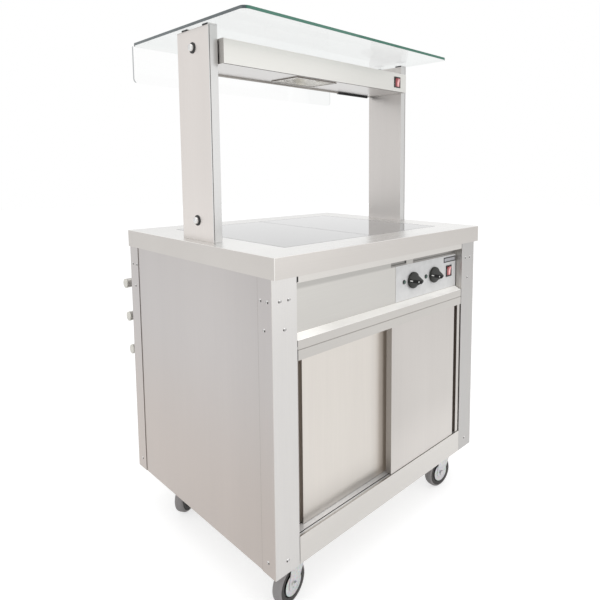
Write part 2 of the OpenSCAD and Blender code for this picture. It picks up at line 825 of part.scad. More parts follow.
// Shelf with edges folded down on to the runners
module shelf() {
    x1 = liner_x - liner_t - shelf_gap;
    y0 = liner_y0 + shelf_back_gap;
    y1 = liner_y1 - shelf_back_gap;
    slot = [shelf_slot_l, shelf_slot_w, 6];
    color("silver") home() difference() {
        box([-x1, y0, shelf_z - shelf_t], [x1, y1, shelf_z]);
        box([-x1 + 1.2, y0 + 1.2, shelf_z - shelf_t - 1], [x1 - 1.2, y1 - 1.2, shelf_z - 1.2]);
        for (i = [-4:4], j = [-1, 0, 1])
            translate([i * x1 / 4.7, (y0 + y1) / 2 + j * (y1 - y0) / 3.8, shelf_z]) cube(slot, center = true);
    }
}

// Outer shell of a door at the right, in the track that starts at y0
module door_shell(y0) {
    x1 = door_x1;
    rim_x = x1 - rim_w;
    difference() {
        union() {
            difference() {
                box([door_x0, y0, door_z0], [x1, y0 + door_t, door_z1]);
                box([door_x0 + door_sheet, y0 + door_sheet, door_z0 + door_sheet],
                    [x1 - door_sheet, y0 + door_t + 1, door_z1 - door_sheet]);
            }
            box([rim_x - pull_w - door_sheet, y0, door_z0],
                [rim_x + door_sheet, y0 + pull_d + door_sheet, door_z1]);
        }
        box([rim_x - pull_w, y0 - 1, door_z0 - 1], [rim_x, y0 + pull_d, door_z1 + 1]);
    }
    for (x = [door_x0 + 20, x1 - 100]) {
        box([x, y0 + (door_t - blade_t) / 2, sill_z - track_d + 0.5],
            [x + 50, y0 + (door_t + blade_t) / 2, door_z0 + eps]);
        box([x, y0 + (door_t - blade_t) / 2, door_z1 - eps],
            [x + 50, y0 + (door_t + blade_t) / 2, door_z1 + track_d]);
    }
}

// Inner skin of a door at the right
module door_skin(y0) {
    box([door_x0 + door_sheet, y0 + door_t - door_sheet, door_z0 + door_sheet],
        [door_x1 - door_sheet, y0 + door_t, door_z1 - door_sheet]);
}

module door_right() {
    color("gainsboro") home() door_shell(front_door_y);
}

module door_right_back() {
    color("lightgray") home() door_skin(front_door_y);
}

module door_left() {
    color("gainsboro") home() mirror([1, 0, 0]) door_shell(rear_door_y);
}

module door_left_back() {
    color("lightgray") home() mirror([1, 0, 0]) door_skin(rear_door_y);
}

// Grooved sill and head track for the guide blades of both doors
module door_tracks() {
    groove = blade_t / 2 + blade_gap;
    color("silver") home() difference() {
        union() {
            box([-open_x, front_y + 6, sill_z - track_d - 1.5], [open_x, liner_y0, sill_z]);
            box([-open_x, front_y + rail_t, door_z1 + 1], [open_x, liner_y0, head_z - rail_t]);
        }
        for (y = [front_door_y + door_t / 2, rear_door_y + door_t / 2]) {
            box([-open_x - 1, y - groove, sill_z - track_d], [open_x + 1, y + groove, sill_z + 1]);
            box([-open_x - 1, y - groove, door_z1], [open_x + 1, y + groove, door_z1 + track_d + 0.5]);
        }
    }
}

// Puts its children at a castor's swivel; side and end are -1 or 1
module at_castor(side, end) {
    y = end < 0 ? castor_front_y : castor_rear_y;
    home() translate([side * castor_x, y, 0]) children();
}

// Top plates of the castors, each with its race cup, king pin and four bolts
module castor_plates() {
    z = plate_z - castor_plate_t;
    color("silver") for (side = [-1, 1], end = [-1, 1]) at_castor(side, end) {
        difference() {
            translate([-castor_plate_l / 2, -castor_plate_w / 2, z])
                cube([castor_plate_l, castor_plate_w, castor_plate_t]);
            for (sx = [-1, 1], sy = [-1, 1]) translate([sx * castor_bolt[0], sy * castor_bolt[1], z - 1])
                cylinder(r = 3, h = 9);
        }
        for (sx = [-1, 1], sy = [-1, 1]) translate([sx * castor_bolt[0], sy * castor_bolt[1], 0]) {
            translate([0, 0, z]) cylinder(r = 3, h = castor_plate_t);
            translate([0, 0, z - 5]) cylinder(r = 6, h = 5, $fn = 6);
        }
        translate([0, 0, z - 7]) cylinder(r1 = 23, r2 = 27, h = 7);
        translate([0, 0, crown_z - 3]) cylinder(r = king_r, h = z - crown_z + 3);
        translate([0, 0, crown_z - 3]) cylinder(r = king_r + 3, h = 2.6);
    }
}

// Fork of a castor, with its axle and thread guards; the wheel trails on -X
module castor_fork(rest) {
    z1 = plate_z - castor_plate_t - 7.4;
    gap = wheel_w / 2 + 2;
    leg_out = gap + 2.5;
    rotate([0, 0, rest]) {
        difference() {
            union() {
                translate([0, 0, crown_z + 2]) cylinder(r1 = 28, r2 = 26, h = z1 - crown_z - 2);
                translate([-26, -leg_out, crown_z]) cube([50, 2 * leg_out, 3]);
            }
            translate([0, 0, crown_z - 1]) cylinder(r = king_r + 0.06, h = 30);
        }
        for (s = [-1, 1]) translate([0, s * (gap + 1.25), 0]) rotate([90, 0, 0])
            translate([0, 0, -1.25]) linear_extrude(2.5) {
                translate([-trail, wheel_r]) circle(r = 17.5);
                polygon([
                    [24, crown_z + 3], [-26, crown_z + 3], [-30, crown_z - 12],
                    [-trail - 17.5, wheel_r + 2], [-trail - 12, wheel_r - 12.7], [-trail, wheel_r - 17.4],
                    [-trail + 14, wheel_r - 10.4], [22, crown_z - 14]
                ]);
            }
        translate([-trail, 0, wheel_r]) {
            rotate([90, 0, 0]) cylinder(r = axle_r, h = 2 * leg_out, center = true);
            for (s = [-1, 1]) mirror([0, s < 0 ? 1 : 0, 0]) {
                translate([0, leg_out + 5, 0]) rotate([90, 0, 0]) cylinder(r = 8, h = 5, $fn = 6);
                translate([0, gap - 1, 0]) rotate([-90, 0, 0]) cylinder(r = 29, h = 1);
            }
        }
    }
}

// Wheel with a rounded tread, a hub bore and recessed side walls
module castor_wheel(rest) {
    w = wheel_w / 2;
    rotate([0, 0, rest]) translate([-trail, 0, wheel_r]) rotate([90, 0, 0]) rotate_extrude()
        for (s = [0, 1]) mirror([0, s]) {
            translate([axle_r + wheel_clear, 0]) square([8, w]);
            translate([axle_r + 1, 0]) square([wheel_r - 8 - axle_r, 8]);
            translate([wheel_r - 14, 0]) square([6, w]);
            translate([wheel_r - 9, 0]) square([9, w - 6]);
            translate([wheel_r - 9, 0]) square([3, w]);
            translate([wheel_r - 6, w - 6]) circle(r = 6);
        }
}

module castor_fl_fork() {
    color("silver") at_castor(-1, -1) castor_fork(castor_rest[0]);
}

module castor_fl_wheel() {
    color("darkgray") at_castor(-1, -1) castor_wheel(castor_rest[0]);
}

module castor_fr_fork() {
    color("silver") at_castor(1, -1) castor_fork(castor_rest[1]);
}

module castor_fr_wheel() {
    color("darkgray") at_castor(1, -1) castor_wheel(castor_rest[1]);
}

module castor_rl_fork() {
    color("silver") at_castor(-1, 1) castor_fork(castor_rest[2]);
}

module castor_rl_wheel() {
    color("darkgray") at_castor(-1, 1) castor_wheel(castor_rest[2]);
}

module castor_rr_fork() {
    color("silver") at_castor(1, 1) castor_fork(castor_rest[3]);
}

module castor_rr_wheel() {
    color("darkgray") at_castor(1, 1) castor_wheel(castor_rest[3]);
}

// Post at the right, hollow, with a seam down its front and its bolt holes
module post() {
    y0 = -post_d / 2;
    home() difference() {
        box([post_in, y0, top_h], [post_x, -y0, post_z]);
        box([post_in + post_t, y0 + post_t, top_h - 1], [post_x - post_t, -y0 - post_t, post_z - post_t]);
        box([post_x - seam_at - seam_w, y0 - 1, top_h - 1], [post_x - seam_at, y0 + 0.8, post_z + 1]);
        rod_x(post_bolt_r, post_in - 5, post_x + 5, 0, post_z - bolt_high);
        rod_x(post_bolt_r, post_x - 5, post_x + 5, 0, top_h + bolt_low);
    }
}

module post_right() {
    color("gainsboro") post();
}

module post_left() {
    color("gainsboro") mirror([1, 0, 0]) post();
}

// Domed bolts of both posts, and the feet inside the posts that hold them down
module post_fixings() {
    foot_x1 = post_x - post_t;
    color("silver") home() both_sides() {
        for (z = [top_h + bolt_low, post_z - bolt_high]) intersection() {
            rod_x(bolt_d / 2, post_x, post_x + 8, 0, z);
            translate([post_x - 8, 0, z]) sphere(r = 16);
        }
        rod_x(post_bolt_r, beam_x - 4, post_x + 1, 0, post_z - bolt_high);
        rod_x(post_bolt_r + 3, beam_x - beam_t - 5, beam_x - beam_t, 0, post_z - bolt_high);
        rod_x(post_bolt_r, foot_x1 - 2, post_x + 1, 0, top_h + bolt_low);
        box([post_in + post_t, -60, top_h], [foot_x1, 60, top_h + 5]);
        box([foot_x1 - 5, -30, top_h], [foot_x1, 30, top_h + bolt_low + 16]);
    }
}

// Housing between the posts, open below
module lamp_housing() {
    zc = (beam_z0 + beam_z1) / 2;
    color("gainsboro") home() difference() {
        box([-beam_x, beam_y0, beam_z0], [beam_x, beam_y1, beam_z1]);
        box([-beam_x + beam_t, beam_y0 + beam_t, beam_z0 - 1],
            [beam_x - beam_t, beam_y1 - beam_t, beam_z1 - beam_t]);
        box([beam_switch_x - switch_w / 2 + 2, beam_y0 - 1, zc - switch_h / 2 + 2],
            [beam_switch_x + switch_w / 2 - 2, beam_y0 + 3, zc + switch_h / 2 - 2]);
        rod_x(post_bolt_r, -beam_x - 5, beam_x + 5, 0, post_z - bolt_high);
    }
}

// Polished panel that closes the housing, with a pocket for the lamp
module reflector_panel() {
    x1 = beam_x - beam_t;
    y0 = pocket_y - pocket_d / 2;
    y1 = pocket_y + pocket_d / 2;
    color("lightcyan") home() difference() {
        union() {
            box([-x1, beam_y0 + beam_t, reflector_z], [x1, beam_y1 - beam_t, reflector_z + 1.2]);
            box([pocket_x0 - 1, y0 - 1, reflector_z], [pocket_x1 + 1, y1 + 1, reflector_z + pocket_h]);
        }
        box([pocket_x0, y0, reflector_z - 1], [pocket_x1, y1, reflector_z + pocket_h - 1]);
    }
}

// Tube lamp across the pocket, in two ceramic holders
module heat_lamp() {
    z = reflector_z + pocket_h / 2;
    color("orange") home() {
        rod_x(tube_d / 2, pocket_x0 + 4, pocket_x1 - 4, pocket_y, z);
        box([pocket_x0, pocket_y - 10, z - 9], [pocket_x0 + 18, pocket_y + 10, z + 9]);
        box([pocket_x1 - 18, pocket_y - 10, z - 9], [pocket_x1, pocket_y + 10, z + 9]);
    }
}

// Frame round the mouth of the lamp pocket
module lamp_frame() {
    y0 = pocket_y - pocket_d / 2;
    y1 = pocket_y + pocket_d / 2;
    color("silver") home() difference() {
        box([pocket_x0 - frame_w, y0 - frame_w, reflector_z - frame_h],
            [pocket_x1 + frame_w, y1 + frame_w, reflector_z]);
        box([pocket_x0, y0, reflector_z - frame_h - 1], [pocket_x1, y1, reflector_z + 1]);
    }
}

// Rounded rectangle with all corners cut to radius r
module rounded(a, b, r) {
    translate([a[0] + r, a[1]]) square([b[0] - a[0] - 2 * r, b[1] - a[1]]);
    translate([a[0], a[1] + r]) square([b[0] - a[0], b[1] - a[1] - 2 * r]);
    for (x = [a[0] + r, b[0] - r], y = [a[1] + r, b[1] - r]) translate([x, y]) circle(r = r);
}

module glass_top() {
    color("mediumaquamarine", 0.5) home() translate([0, 0, glass_z]) linear_extrude(glass_t)
        rounded([-glass_x, -glass_front], [glass_x, glass_rear], glass_r);
}

// Screen bonded under the rear edge of the top glass
module glass_back() {
    z0 = glass_z + glass_t - glass_drop;
    color("mediumaquamarine", 0.5) home() translate([0, glass_rear, 0]) rotate([90, 0, 0])
        linear_extrude(glass_t) difference() {
            rounded([-glass_x, z0], [glass_x, glass_z + 40], 14);
            translate([-2 * glass_x, glass_z]) square([4 * glass_x, 50]);
        }
}

// Rubber pads under the top glass, and the dark strip under the housing's rear edge
module glass_pads() {
    strip_x = beam_x - strip_in;
    color("dimgray") home() {
        both_sides() for (y = [-post_d / 2, 26])
            box([post_in - 0.5, y, post_z], [post_x + 0.5, y + pad_l, glass_z]);
        box([strip_x - strip_l, beam_y1 - beam_t - 6, beam_z0 - 5],
            [strip_x, beam_y1 - beam_t, reflector_z]);
    }
}

// Rivet places on one front or rear post: [across, height]
function rivet_spots() = [
    [-rivet_pair / 2, skirt_z - rivet_drop], [rivet_pair / 2, skirt_z - rivet_drop],
    [0, skirt_z - rivet_drop - rivet_step], [0, base_h + rivet_rise]
];

// Rivets of the four corner posts, or their holes
module rivet_set(hole) {
    leg_mid = open_x + leg_face_w / 2;
    for (p = rivet_spots()) {
        translate([leg_mid + p[0], front_y, p[1]]) rotate([90, 0, 0]) rivet(hole);
        for (y = [front_y + 28.5, back_y - 28.5])
            translate([body_x, y + p[0], p[1]]) rotate([0, 90, 0]) rivet(hole);
    }
}

module rivet(hole) {
    if (hole) {
        translate([0, 0, -leg_t - 1]) cylinder(r = 2.4, h = leg_t + 2);
    } else {
        translate([0, 0, -leg_t]) cylinder(r = 2.4, h = leg_t + 0.5);
        intersection() {
            cylinder(r = 4.5, h = 1.3);
            translate([0, 0, -7]) sphere(r = 8.35);
        }
    }
}

module rivets() {
    color("gray") home() both_sides() rivet_set(false);
}

// Brackets of the tray slide: two ears and a hinge pin each, and a buffer stud below
module slide_brackets() {
    inner = arm_t / 2 + ear_gap;
    color("silver") home() both_sides() translate([arm_x, 0, 0]) {
        box([-24, panel_back_y, hinge_z - 40], [24, panel_back_y + ear_t, hinge_z + 28]);
        for (s = [-1, 1]) translate([s * (inner + ear_t / 2), 0, 0]) along_x(-ear_t / 2, ear_t / 2) polygon([
            [panel_back_y, hinge_z - 40], [panel_back_y + 12, hinge_z - 40], [hinge_y + 12, hinge_z - 10],
            [hinge_y + 12, hinge_z + 10], [hinge_y + 4, hinge_z + 16], [panel_back_y + 12, hinge_z + 28],
            [panel_back_y, hinge_z + 28]
        ]);
        rod_x(pin_d / 2, -inner - ear_t - 2, inner + ear_t + 2, hinge_y, hinge_z);
        rod_y(buffer_r, panel_back_y, buffer_y, 0, buffer_z);
    }
}

// Cranked arms of the tray slide; the outline runs [out from the arm, up along it]
module slide_arms() {
    last = tube_first + 2 * tube_pitch;
    color("silver") home() both_sides() translate([arm_x, hinge_y, hinge_z])
        rotate([-slide_lean, 0, 0]) along_x(-arm_t / 2, arm_t / 2) difference() {
            union() {
                circle(r = arm_neck);
                square([arm_neck, heel]);
                polygon([
                    [-arm_neck, 0], [arm_neck, 0], [arm_neck, -34], [tube_stand + arm_r - 8, -tube_first + 8],
                    [tube_stand + arm_r, -tube_first], [tube_stand + arm_r, -last],
                    [tube_stand - arm_r, -last], [tube_stand - arm_r, -tube_first], [4 - arm_neck, -48]
                ]);
                translate([tube_stand, -tube_first]) circle(r = arm_r);
                translate([tube_stand, -last]) circle(r = arm_r);
            }
            circle(r = pin_d / 2 + 0.06);
            for (i = [0:2]) translate([tube_stand, -tube_first - i * tube_pitch]) circle(d = rail_d);
        }
}

module slide_tubes() {
    x1 = slide_w / 2 - 3;
    color("gainsboro") home() for (i = [0:2]) difference() {
        rod_x(rail_d / 2, -x1, x1, tube_y(i), tube_z(i));
        rod_x(rail_d / 2 - rail_wall, -x1 - 1, x1 + 1, tube_y(i), tube_z(i));
    }
}

module slide_caps() {
    x1 = slide_w / 2;
    color("whitesmoke") home() both_sides() for (i = [0:2]) {
        rod_x(rail_d / 2, x1 - 3, x1, tube_y(i), tube_z(i));
        rod_x(rail_d / 2 - rail_wall, x1 - 14, x1 - 3, tube_y(i), tube_z(i));
    }
}

worktop();
hot_plate_left();
hot_plate_right();
hot_top_pan();
hot_top_elements();
front_legs();
rear_legs();
side_panel_left();
side_panel_right();
back_panel();
base_pan();
plinth_rail();
head_rail();
control_ledge();
top_rail();
fascia_panel();
control_plate();
thermostats();
knob_hot_top();
knob_cupboard();
pilot_lamps();
switch_bodies();
main_rocker();
lamp_rocker();
cable_gland();
terminal_block();
cupboard_liner();
insulation();
cupboard_element();
element_cover();
shelf();
door_left();
door_left_back();
door_right();
door_right_back();
door_tracks();
castor_plates();
castor_fl_fork();
castor_fl_wheel();
castor_fr_fork();
castor_fr_wheel();
castor_rl_fork();
castor_rl_wheel();
castor_rr_fork();
castor_rr_wheel();
post_left();
post_right();
post_fixings();
lamp_housing();
reflector_panel();
heat_lamp();
lamp_frame();
glass_top();
glass_back();
glass_pads();
rivets();
slide_brackets();
slide_arms();
slide_tubes();
slide_caps();
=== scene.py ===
import math

import bmesh
import bpy
from mathutils import Matrix, Vector
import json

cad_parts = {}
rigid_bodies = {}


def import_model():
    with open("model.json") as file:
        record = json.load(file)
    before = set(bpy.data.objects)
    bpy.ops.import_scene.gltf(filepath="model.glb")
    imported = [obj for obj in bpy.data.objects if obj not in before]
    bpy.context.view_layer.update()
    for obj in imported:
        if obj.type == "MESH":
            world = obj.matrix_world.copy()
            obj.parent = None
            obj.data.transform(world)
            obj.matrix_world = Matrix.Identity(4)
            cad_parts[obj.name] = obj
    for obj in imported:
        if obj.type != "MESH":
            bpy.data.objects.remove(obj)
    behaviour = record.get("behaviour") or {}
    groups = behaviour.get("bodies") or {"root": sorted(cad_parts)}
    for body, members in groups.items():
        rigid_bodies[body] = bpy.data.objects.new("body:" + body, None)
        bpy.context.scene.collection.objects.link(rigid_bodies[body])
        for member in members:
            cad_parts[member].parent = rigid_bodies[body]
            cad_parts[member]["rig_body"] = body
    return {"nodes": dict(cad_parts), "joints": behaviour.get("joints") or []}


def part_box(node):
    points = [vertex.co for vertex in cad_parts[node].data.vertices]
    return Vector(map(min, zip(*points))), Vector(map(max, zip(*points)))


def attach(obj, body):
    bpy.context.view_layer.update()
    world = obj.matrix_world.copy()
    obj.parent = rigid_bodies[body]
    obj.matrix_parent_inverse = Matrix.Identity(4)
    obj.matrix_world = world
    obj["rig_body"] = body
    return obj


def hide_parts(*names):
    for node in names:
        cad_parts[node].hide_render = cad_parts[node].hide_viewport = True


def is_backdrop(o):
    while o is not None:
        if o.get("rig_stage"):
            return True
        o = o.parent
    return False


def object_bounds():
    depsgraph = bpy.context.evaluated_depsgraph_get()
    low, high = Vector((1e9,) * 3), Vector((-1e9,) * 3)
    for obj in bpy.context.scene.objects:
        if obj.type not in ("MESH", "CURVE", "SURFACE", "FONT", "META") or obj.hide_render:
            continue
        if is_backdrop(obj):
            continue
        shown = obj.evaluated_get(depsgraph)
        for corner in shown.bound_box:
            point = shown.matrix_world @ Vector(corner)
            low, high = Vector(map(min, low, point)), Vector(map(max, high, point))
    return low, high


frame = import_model()
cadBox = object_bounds()
topLow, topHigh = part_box("worktop")
home = (topLow.y + topHigh.y) / 2  # the worktop's middle, which the measures below count from


def spot(x, y, z):  # millimetres from the worktop's middle and the floor
    return Vector((x / 1000, y / 1000 + home, z / 1000))


# Camera at the photograph's place
cameraSetup = {
    "picture": 600,
    "sensor": 36,
    "focalPixels": 523.23,
    "centrePixels": (365.25, 217.74),
    "position": (-1126.9, -1286.3, 1101.1),
    "yaw": 47.333,
    "pitch": 5.641,
    "roll": 0.078,
}


def makeCamera(s):
    data = bpy.data.cameras.new("camera")
    picture, half = s["picture"], s["picture"] / 2
    data.sensor_width = s["sensor"]
    data.lens = s["focalPixels"] / picture * s["sensor"]
    data.shift_x = (half - s["centrePixels"][0]) / picture
    data.shift_y = (s["centrePixels"][1] - half) / picture
    data.clip_start, data.clip_end = 0.01, 60
    camera = bpy.data.objects.new("camera", data)
    bpy.context.scene.collection.objects.link(camera)
    yaw, pitch = math.radians(s["yaw"]), math.radians(s["pitch"])
    level = math.cos(pitch)
    ahead = Vector((math.sin(yaw) * level, math.cos(yaw) * level, -math.sin(pitch)))
    turn = ahead.to_track_quat("-Z", "Y").to_matrix().to_4x4()
    roll = Matrix.Rotation(math.radians(s["roll"]), 4, "Z")
    camera.matrix_world = Matrix.Translation(spot(*s["position"])) @ turn @ roll
    bpy.context.scene.camera = camera


makeCamera(cameraSetup)
bpy.context.scene.view_settings.view_transform = "Standard"
print("camera set")


# A shader socket that takes part in sums
class Wire:
    def __init__(self, finish, socket):
        self.finish = finish
        self.socket = socket

    def maths(self, kind, *others):
        return self.finish.add("ShaderNodeMath", {"operation": kind}, [self, *others])

    def __add__(self, other):
        return self.maths("ADD", other)

    __radd__ = __add__

    def __mul__(self, other):
        return self.maths("MULTIPLY", other)

    def __sub__(self, other):
        return self.maths("SUBTRACT", other)

    def __rsub__(self, other):
        return self.finish.add("ShaderNodeMath", {"operation": "SUBTRACT"}, [other, self])

    def __truediv__(self, other):
        return self.maths("DIVIDE", other)

    def __pow__(self, other):
        return self.maths("POWER", other)

    def __abs__(self):
        return self.maths("ABSOLUTE")

    def below(self, level):
        return self.maths("LESS_THAN", level)

    def least(self, other):
        return self.maths("MINIMUM", other)

    def most(self, other):
        return self.maths("MAXIMUM", other)

    def fade(self, start, end):  # 0 at start, 1 at end, smooth between
        return self.finish.add(
            "ShaderNodeMapRange",
            {"interpolation_type": "SMOOTHSTEP", "clamp": True},
            {"Value": self, "From Min": start, "From Max": end, "To Min": 0.0, "To Max": 1.0},
        )


class Finish:
    def __init__(self, name, fixed):
        self.material = bpy.data.materials.new(name)
        self.material.use_nodes = True
        self.tree = self.material.node_tree
        self.tree.nodes.clear()
        self.shader = self.tree.nodes.new("ShaderNodeBsdfPrincipled")
        end = self.tree.nodes.new("ShaderNodeOutputMaterial")
        self.tree.links.new(self.shader.outputs["BSDF"], end.inputs["Surface"])
        self.place = None
        for socket, value in fixed.items():
            self.shader.inputs[socket].default_value = value

    def feed(self, socket, value):
        if isinstance(value, Wire):
            self.tree.links.new(value.socket, socket)
        elif isinstance(value, tuple) and len(value) == 3 and socket.type == "RGBA":
            socket.default_value = (*value, 1)
        else:
            socket.default_value = value

    def add(self, kind, settings, values, out=0):
        node = self.tree.nodes.new(kind)
        for name, value in settings.items():
            setattr(node, name, value)
        pairs = values.items() if isinstance(values, dict) else enumerate(values)
        for name, value in pairs:
            self.feed(node.inputs[name], value)
        return Wire(self, node.outputs[out])

    def coords(self):
        if self.place is None:
            self.place = self.add("ShaderNodeTexCoord", {}, {}, "Object")
        return self.place

    def axes(self):
        split = self.add("ShaderNodeSeparateXYZ", {}, [self.coords()])
        outs = split.socket.node.outputs
        return [Wire(self, outs[i]) for i in range(3)]

    def along(self, axis, start, end):  # 0 at start and 1 at end, in millimetres as in spot
        offset = home if axis == "y" else 0
        return self.axes()["xyz".index(axis)].fade(start / 1000 + offset, end / 1000 + offset)

    def stretched(self, scale):
        return self.add("ShaderNodeVectorMath", {"operation": "MULTIPLY"}, [self.coords(), scale])

    def noise(self, scale, detail=2.0, stretch=(1, 1, 1), roughness=0.5):
        values = {
            "Vector": self.stretched(stretch),
            "Scale": scale,
            "Detail": detail,
            "Roughness": roughness,
        }
        return self.add("ShaderNodeTexNoise", {}, values)

    def mix(self, share, first, second):
        return self.add("ShaderNodeMix", {"data_type": "RGBA"}, {0: share, 6: first, 7: second}, 2)

    def give(self, socket, value):
        self.feed(self.shader.inputs[socket], value)

    def bump(self, height, strength, distance):
        values = {"Strength": strength, "Distance": distance, "Height": height}
        self.give("Normal", self.add("ShaderNodeBump", {}, values))


def shown(red, green, blue):  # a colour by its 0-255 values on a screen
    return tuple(((v / 255 + 0.055) / 1.055) ** 2.4 for v in (red, green, blue))


# Brushed stainless sheet: grain along one axis, soft rolling marks and a slow drift of tone
steelSheet = {
    "roughness": 0.34,
    "grain": {"long": 5, "across": 420, "finer": 3.1, "depth": 0.035, "reach": 0.0004},
    "bands": {"long": 1, "across": 14, "share": 0.05},
    "toneSpread": 1.8,
    "streakShare": 0.08,
    "roughSpread": 0.06,
    # Tones by part and face: lighter and darker copies of the one steel that paint the light and shade on
    # each face. topFace, brightEdge, ledge and sill are painted light and highlight; doorRight, postFront,
    # postInner, return, shaded, dark, vent and pull are painted shade.
    "tones": {
        "cross": (shown(186, 183, 179), shown(196, 193, 189)),
        "plinth": (shown(201, 198, 194), shown(210, 207, 203)),
        "rail": (shown(198, 195, 191), shown(209, 206, 202)),
        "fascia": (shown(189, 187, 183), shown(201, 198, 194)),
        "upright": (shown(201, 199, 197), shown(210, 208, 206)),
        "topFace": (shown(233, 232, 230), shown(242, 241, 239)),
        "skirt": (shown(191, 187, 183), shown(202, 198, 194)),
        "brightEdge": (shown(226, 224, 220), shown(236, 234, 231)),
        "side": (shown(183, 179, 178), shown(194, 190, 188)),
        "door": (shown(201, 196, 190), shown(218, 213, 207)),
        "doorRight": (shown(183, 179, 176), shown(199, 195, 191)),
        "post": (shown(214, 208, 204), shown(224, 219, 215)),
        "postFront": (shown(191, 191, 191), shown(202, 201, 199)),
        "postInner": (shown(197, 193, 190), shown(208, 204, 201)),
        "housing": (shown(204, 203, 199), shown(215, 214, 210)),
        "under": (shown(196, 194, 192), shown(208, 206, 204)),
        "ledge": (shown(244, 242, 238), shown(252, 251, 248)),
        "sill": (shown(240, 240, 240), shown(251, 251, 251)),
        "inside": (shown(176, 173, 170), shown(190, 188, 185)),
        "return": (shown(190, 187, 183), shown(204, 201, 197)),
        "shaded": (shown(164, 160, 156), shown(178, 174, 170)),
        "brown": (shown(118, 110, 104), shown(136, 128, 121)),
        "dark": (shown(122, 114, 108), shown(142, 134, 127)),
        "vent": (shown(124, 122, 119), shown(148, 145, 142)),
        "pull": (shown(168, 158, 148), shown(186, 176, 166)),
    },
}


def stretchedAlong(grain, across, lengthwise):
    return tuple(lengthwise if axis == grain else across for axis in "xyz")


# drift: how fast the tone wanders. shades: (axis, start, end, share), painted shade, duller from start to
# end.
# tint: (axis, start, end, colour, share).
# glare: (start, end, patchy share, rising share, colour), along x: a painted glow, given as emission.
def brushedSteel(
    tone,
    grain,
    roughness=None,
    drift=(1.6, 1.6, 1.6),
    shades=(),
    metallic=1.0,
    tint=None,
    glare=None,
):
    s = steelSheet
    dark, light = s["tones"][tone]
    name = "%s steel, grain %s%s" % (tone, grain, ", shaded" if shades else "")
    f = Finish(name, {"Metallic": metallic})
    g, b = s["grain"], s["bands"]
    stretch = stretchedAlong(grain, g["across"], g["long"])
    streaks = f.noise(1.0, 3.0, stretch, 0.65)
    fine = f.noise(1.0, 1.0, tuple(v * g["finer"] for v in stretch))
    bands = f.noise(1.0, 2.0, stretchedAlong(grain, b["across"], b["long"]))
    cloud = f.noise(1.0, 1.5, drift)
    colour = f.mix((cloud - 0.5) * s["toneSpread"] + 0.5, dark, light)
    if tint:
        axis, start, end, tintColour, share = tint
        colour = f.mix(f.along(axis, start, end) * share, colour, tintColour)
    shade = (1 - s["streakShare"] / 2) + streaks * s["streakShare"] + (bands - 0.5) * b["share"]
    for axis, start, end, share in shades:
        shade = shade * (1 - f.along(axis, start, end) * share)
    scaled = f.add("ShaderNodeVectorMath", {"operation": "SCALE"}, {0: colour, "Scale": shade})
    f.give("Base Color", scaled)
    if glare:
        start, end, patchy, rising, glow = glare
        gleam = f.along("x", start, end) * rising + (cloud + 0.25) * patchy
        f.give("Emission Color", f.mix(gleam, (0, 0, 0), glow))
        f.shader.inputs["Emission Strength"].default_value = 1.0
    base = s["roughness"] if roughness is None else roughness
    f.give("Roughness", base - 0.05 + streaks * s["streakShare"] + (cloud - 0.5) * s["roughSpread"])
    f.bump(streaks * 0.7 + fine * 0.3, g["depth"], g["reach"])
    return f.material


def toned(colour, tone):
    return tuple(min(1, v * tone) for v in colour)


polishTones = ((0.74, 0.735, 0.72), (0.80, 0.80, 0.80))


def polishedSteel(name, tone, roughness, glow=None):
    f = Finish(name, {"Metallic": 1.0})
    cloud = f.noise(9.0, 3.0)
    hairlines = f.noise(1.0, 4.0, (60, 900, 900))
    f.give("Base Color", f.mix(cloud, *(toned(colour, tone) for colour in polishTones)))
    f.give("Roughness", roughness + cloud * 0.05 + hairlines * 0.03)
    f.bump(cloud, 0.05, 0.001)
    if glow:
        f.give("Emission Color", glow)
        f.shader.inputs["Emission Strength"].default_value = 1.0
    return f.material


rivetTones = {"low": (0.70, 0.69, 0.68), "high": (0.80, 0.80, 0.79), "flank": (0.045, 0.04, 0.037)}


# The pale crown and dark flanks follow the dome's slope: a painted highlight on top and painted shade on
# the sides.
def rivetFinish(name):  # polished domes: a pale crown between two dark flanks
    s = rivetTones
    f = Finish(name, {"Metallic": 1.0, "Roughness": 0.2})
    normal = f.add("ShaderNodeNewGeometry", {}, {}, "Normal")
    parts = f.add("ShaderNodeSeparateXYZ", {}, [normal]).socket.node.outputs
    crown = Wire(f, parts["Z"]).fade(0.10, 0.40)
    flank = abs(Wire(f, parts["X"]) * Wire(f, parts["Y"])).fade(0.05, 0.24) * (1 - crown)
    speck = f.noise(500.0, 2.0)
    f.give("Base Color", f.mix(flank, f.mix(speck, s["low"], s["high"]), s["flank"]))
    f.bump(speck, 0.05, 0.0003)
    return f.material


def zincPlate(name):
    f = Finish(name, {"Metallic": 1.0})
    spangle = f.add("ShaderNodeTexVoronoi", {}, {"Vector": f.coords(), "Scale": 260.0}, "Color")
    patches = f.noise(60.0, 3.0)
    grey = f.mix(patches, (0.50, 0.51, 0.52), (0.66, 0.66, 0.65))
    f.give("Base Color", f.mix(0.12, grey, spangle))
    f.give("Roughness", 0.26 + patches * 0.18)
    f.bump(patches, 0.12, 0.0006)
    return f.material


def mouldedPlastic(name, colour, roughness, grain=900.0, depth=0.12, coat=0.0, gloss=0.5):
    f = Finish(name, {"Coat Weight": coat, "Coat Roughness": 0.2, "Specular IOR Level": gloss})
    speck = f.noise(grain, 2.0)
    wear = f.noise(38.0, 3.0)
    f.give("Base Color", f.mix(wear, toned(colour, 0.86), toned(colour, 1.14)))
    f.give("Roughness", roughness - 0.05 + wear * 0.12)
    f.bump(speck, depth, 0.0004)
    return f.material


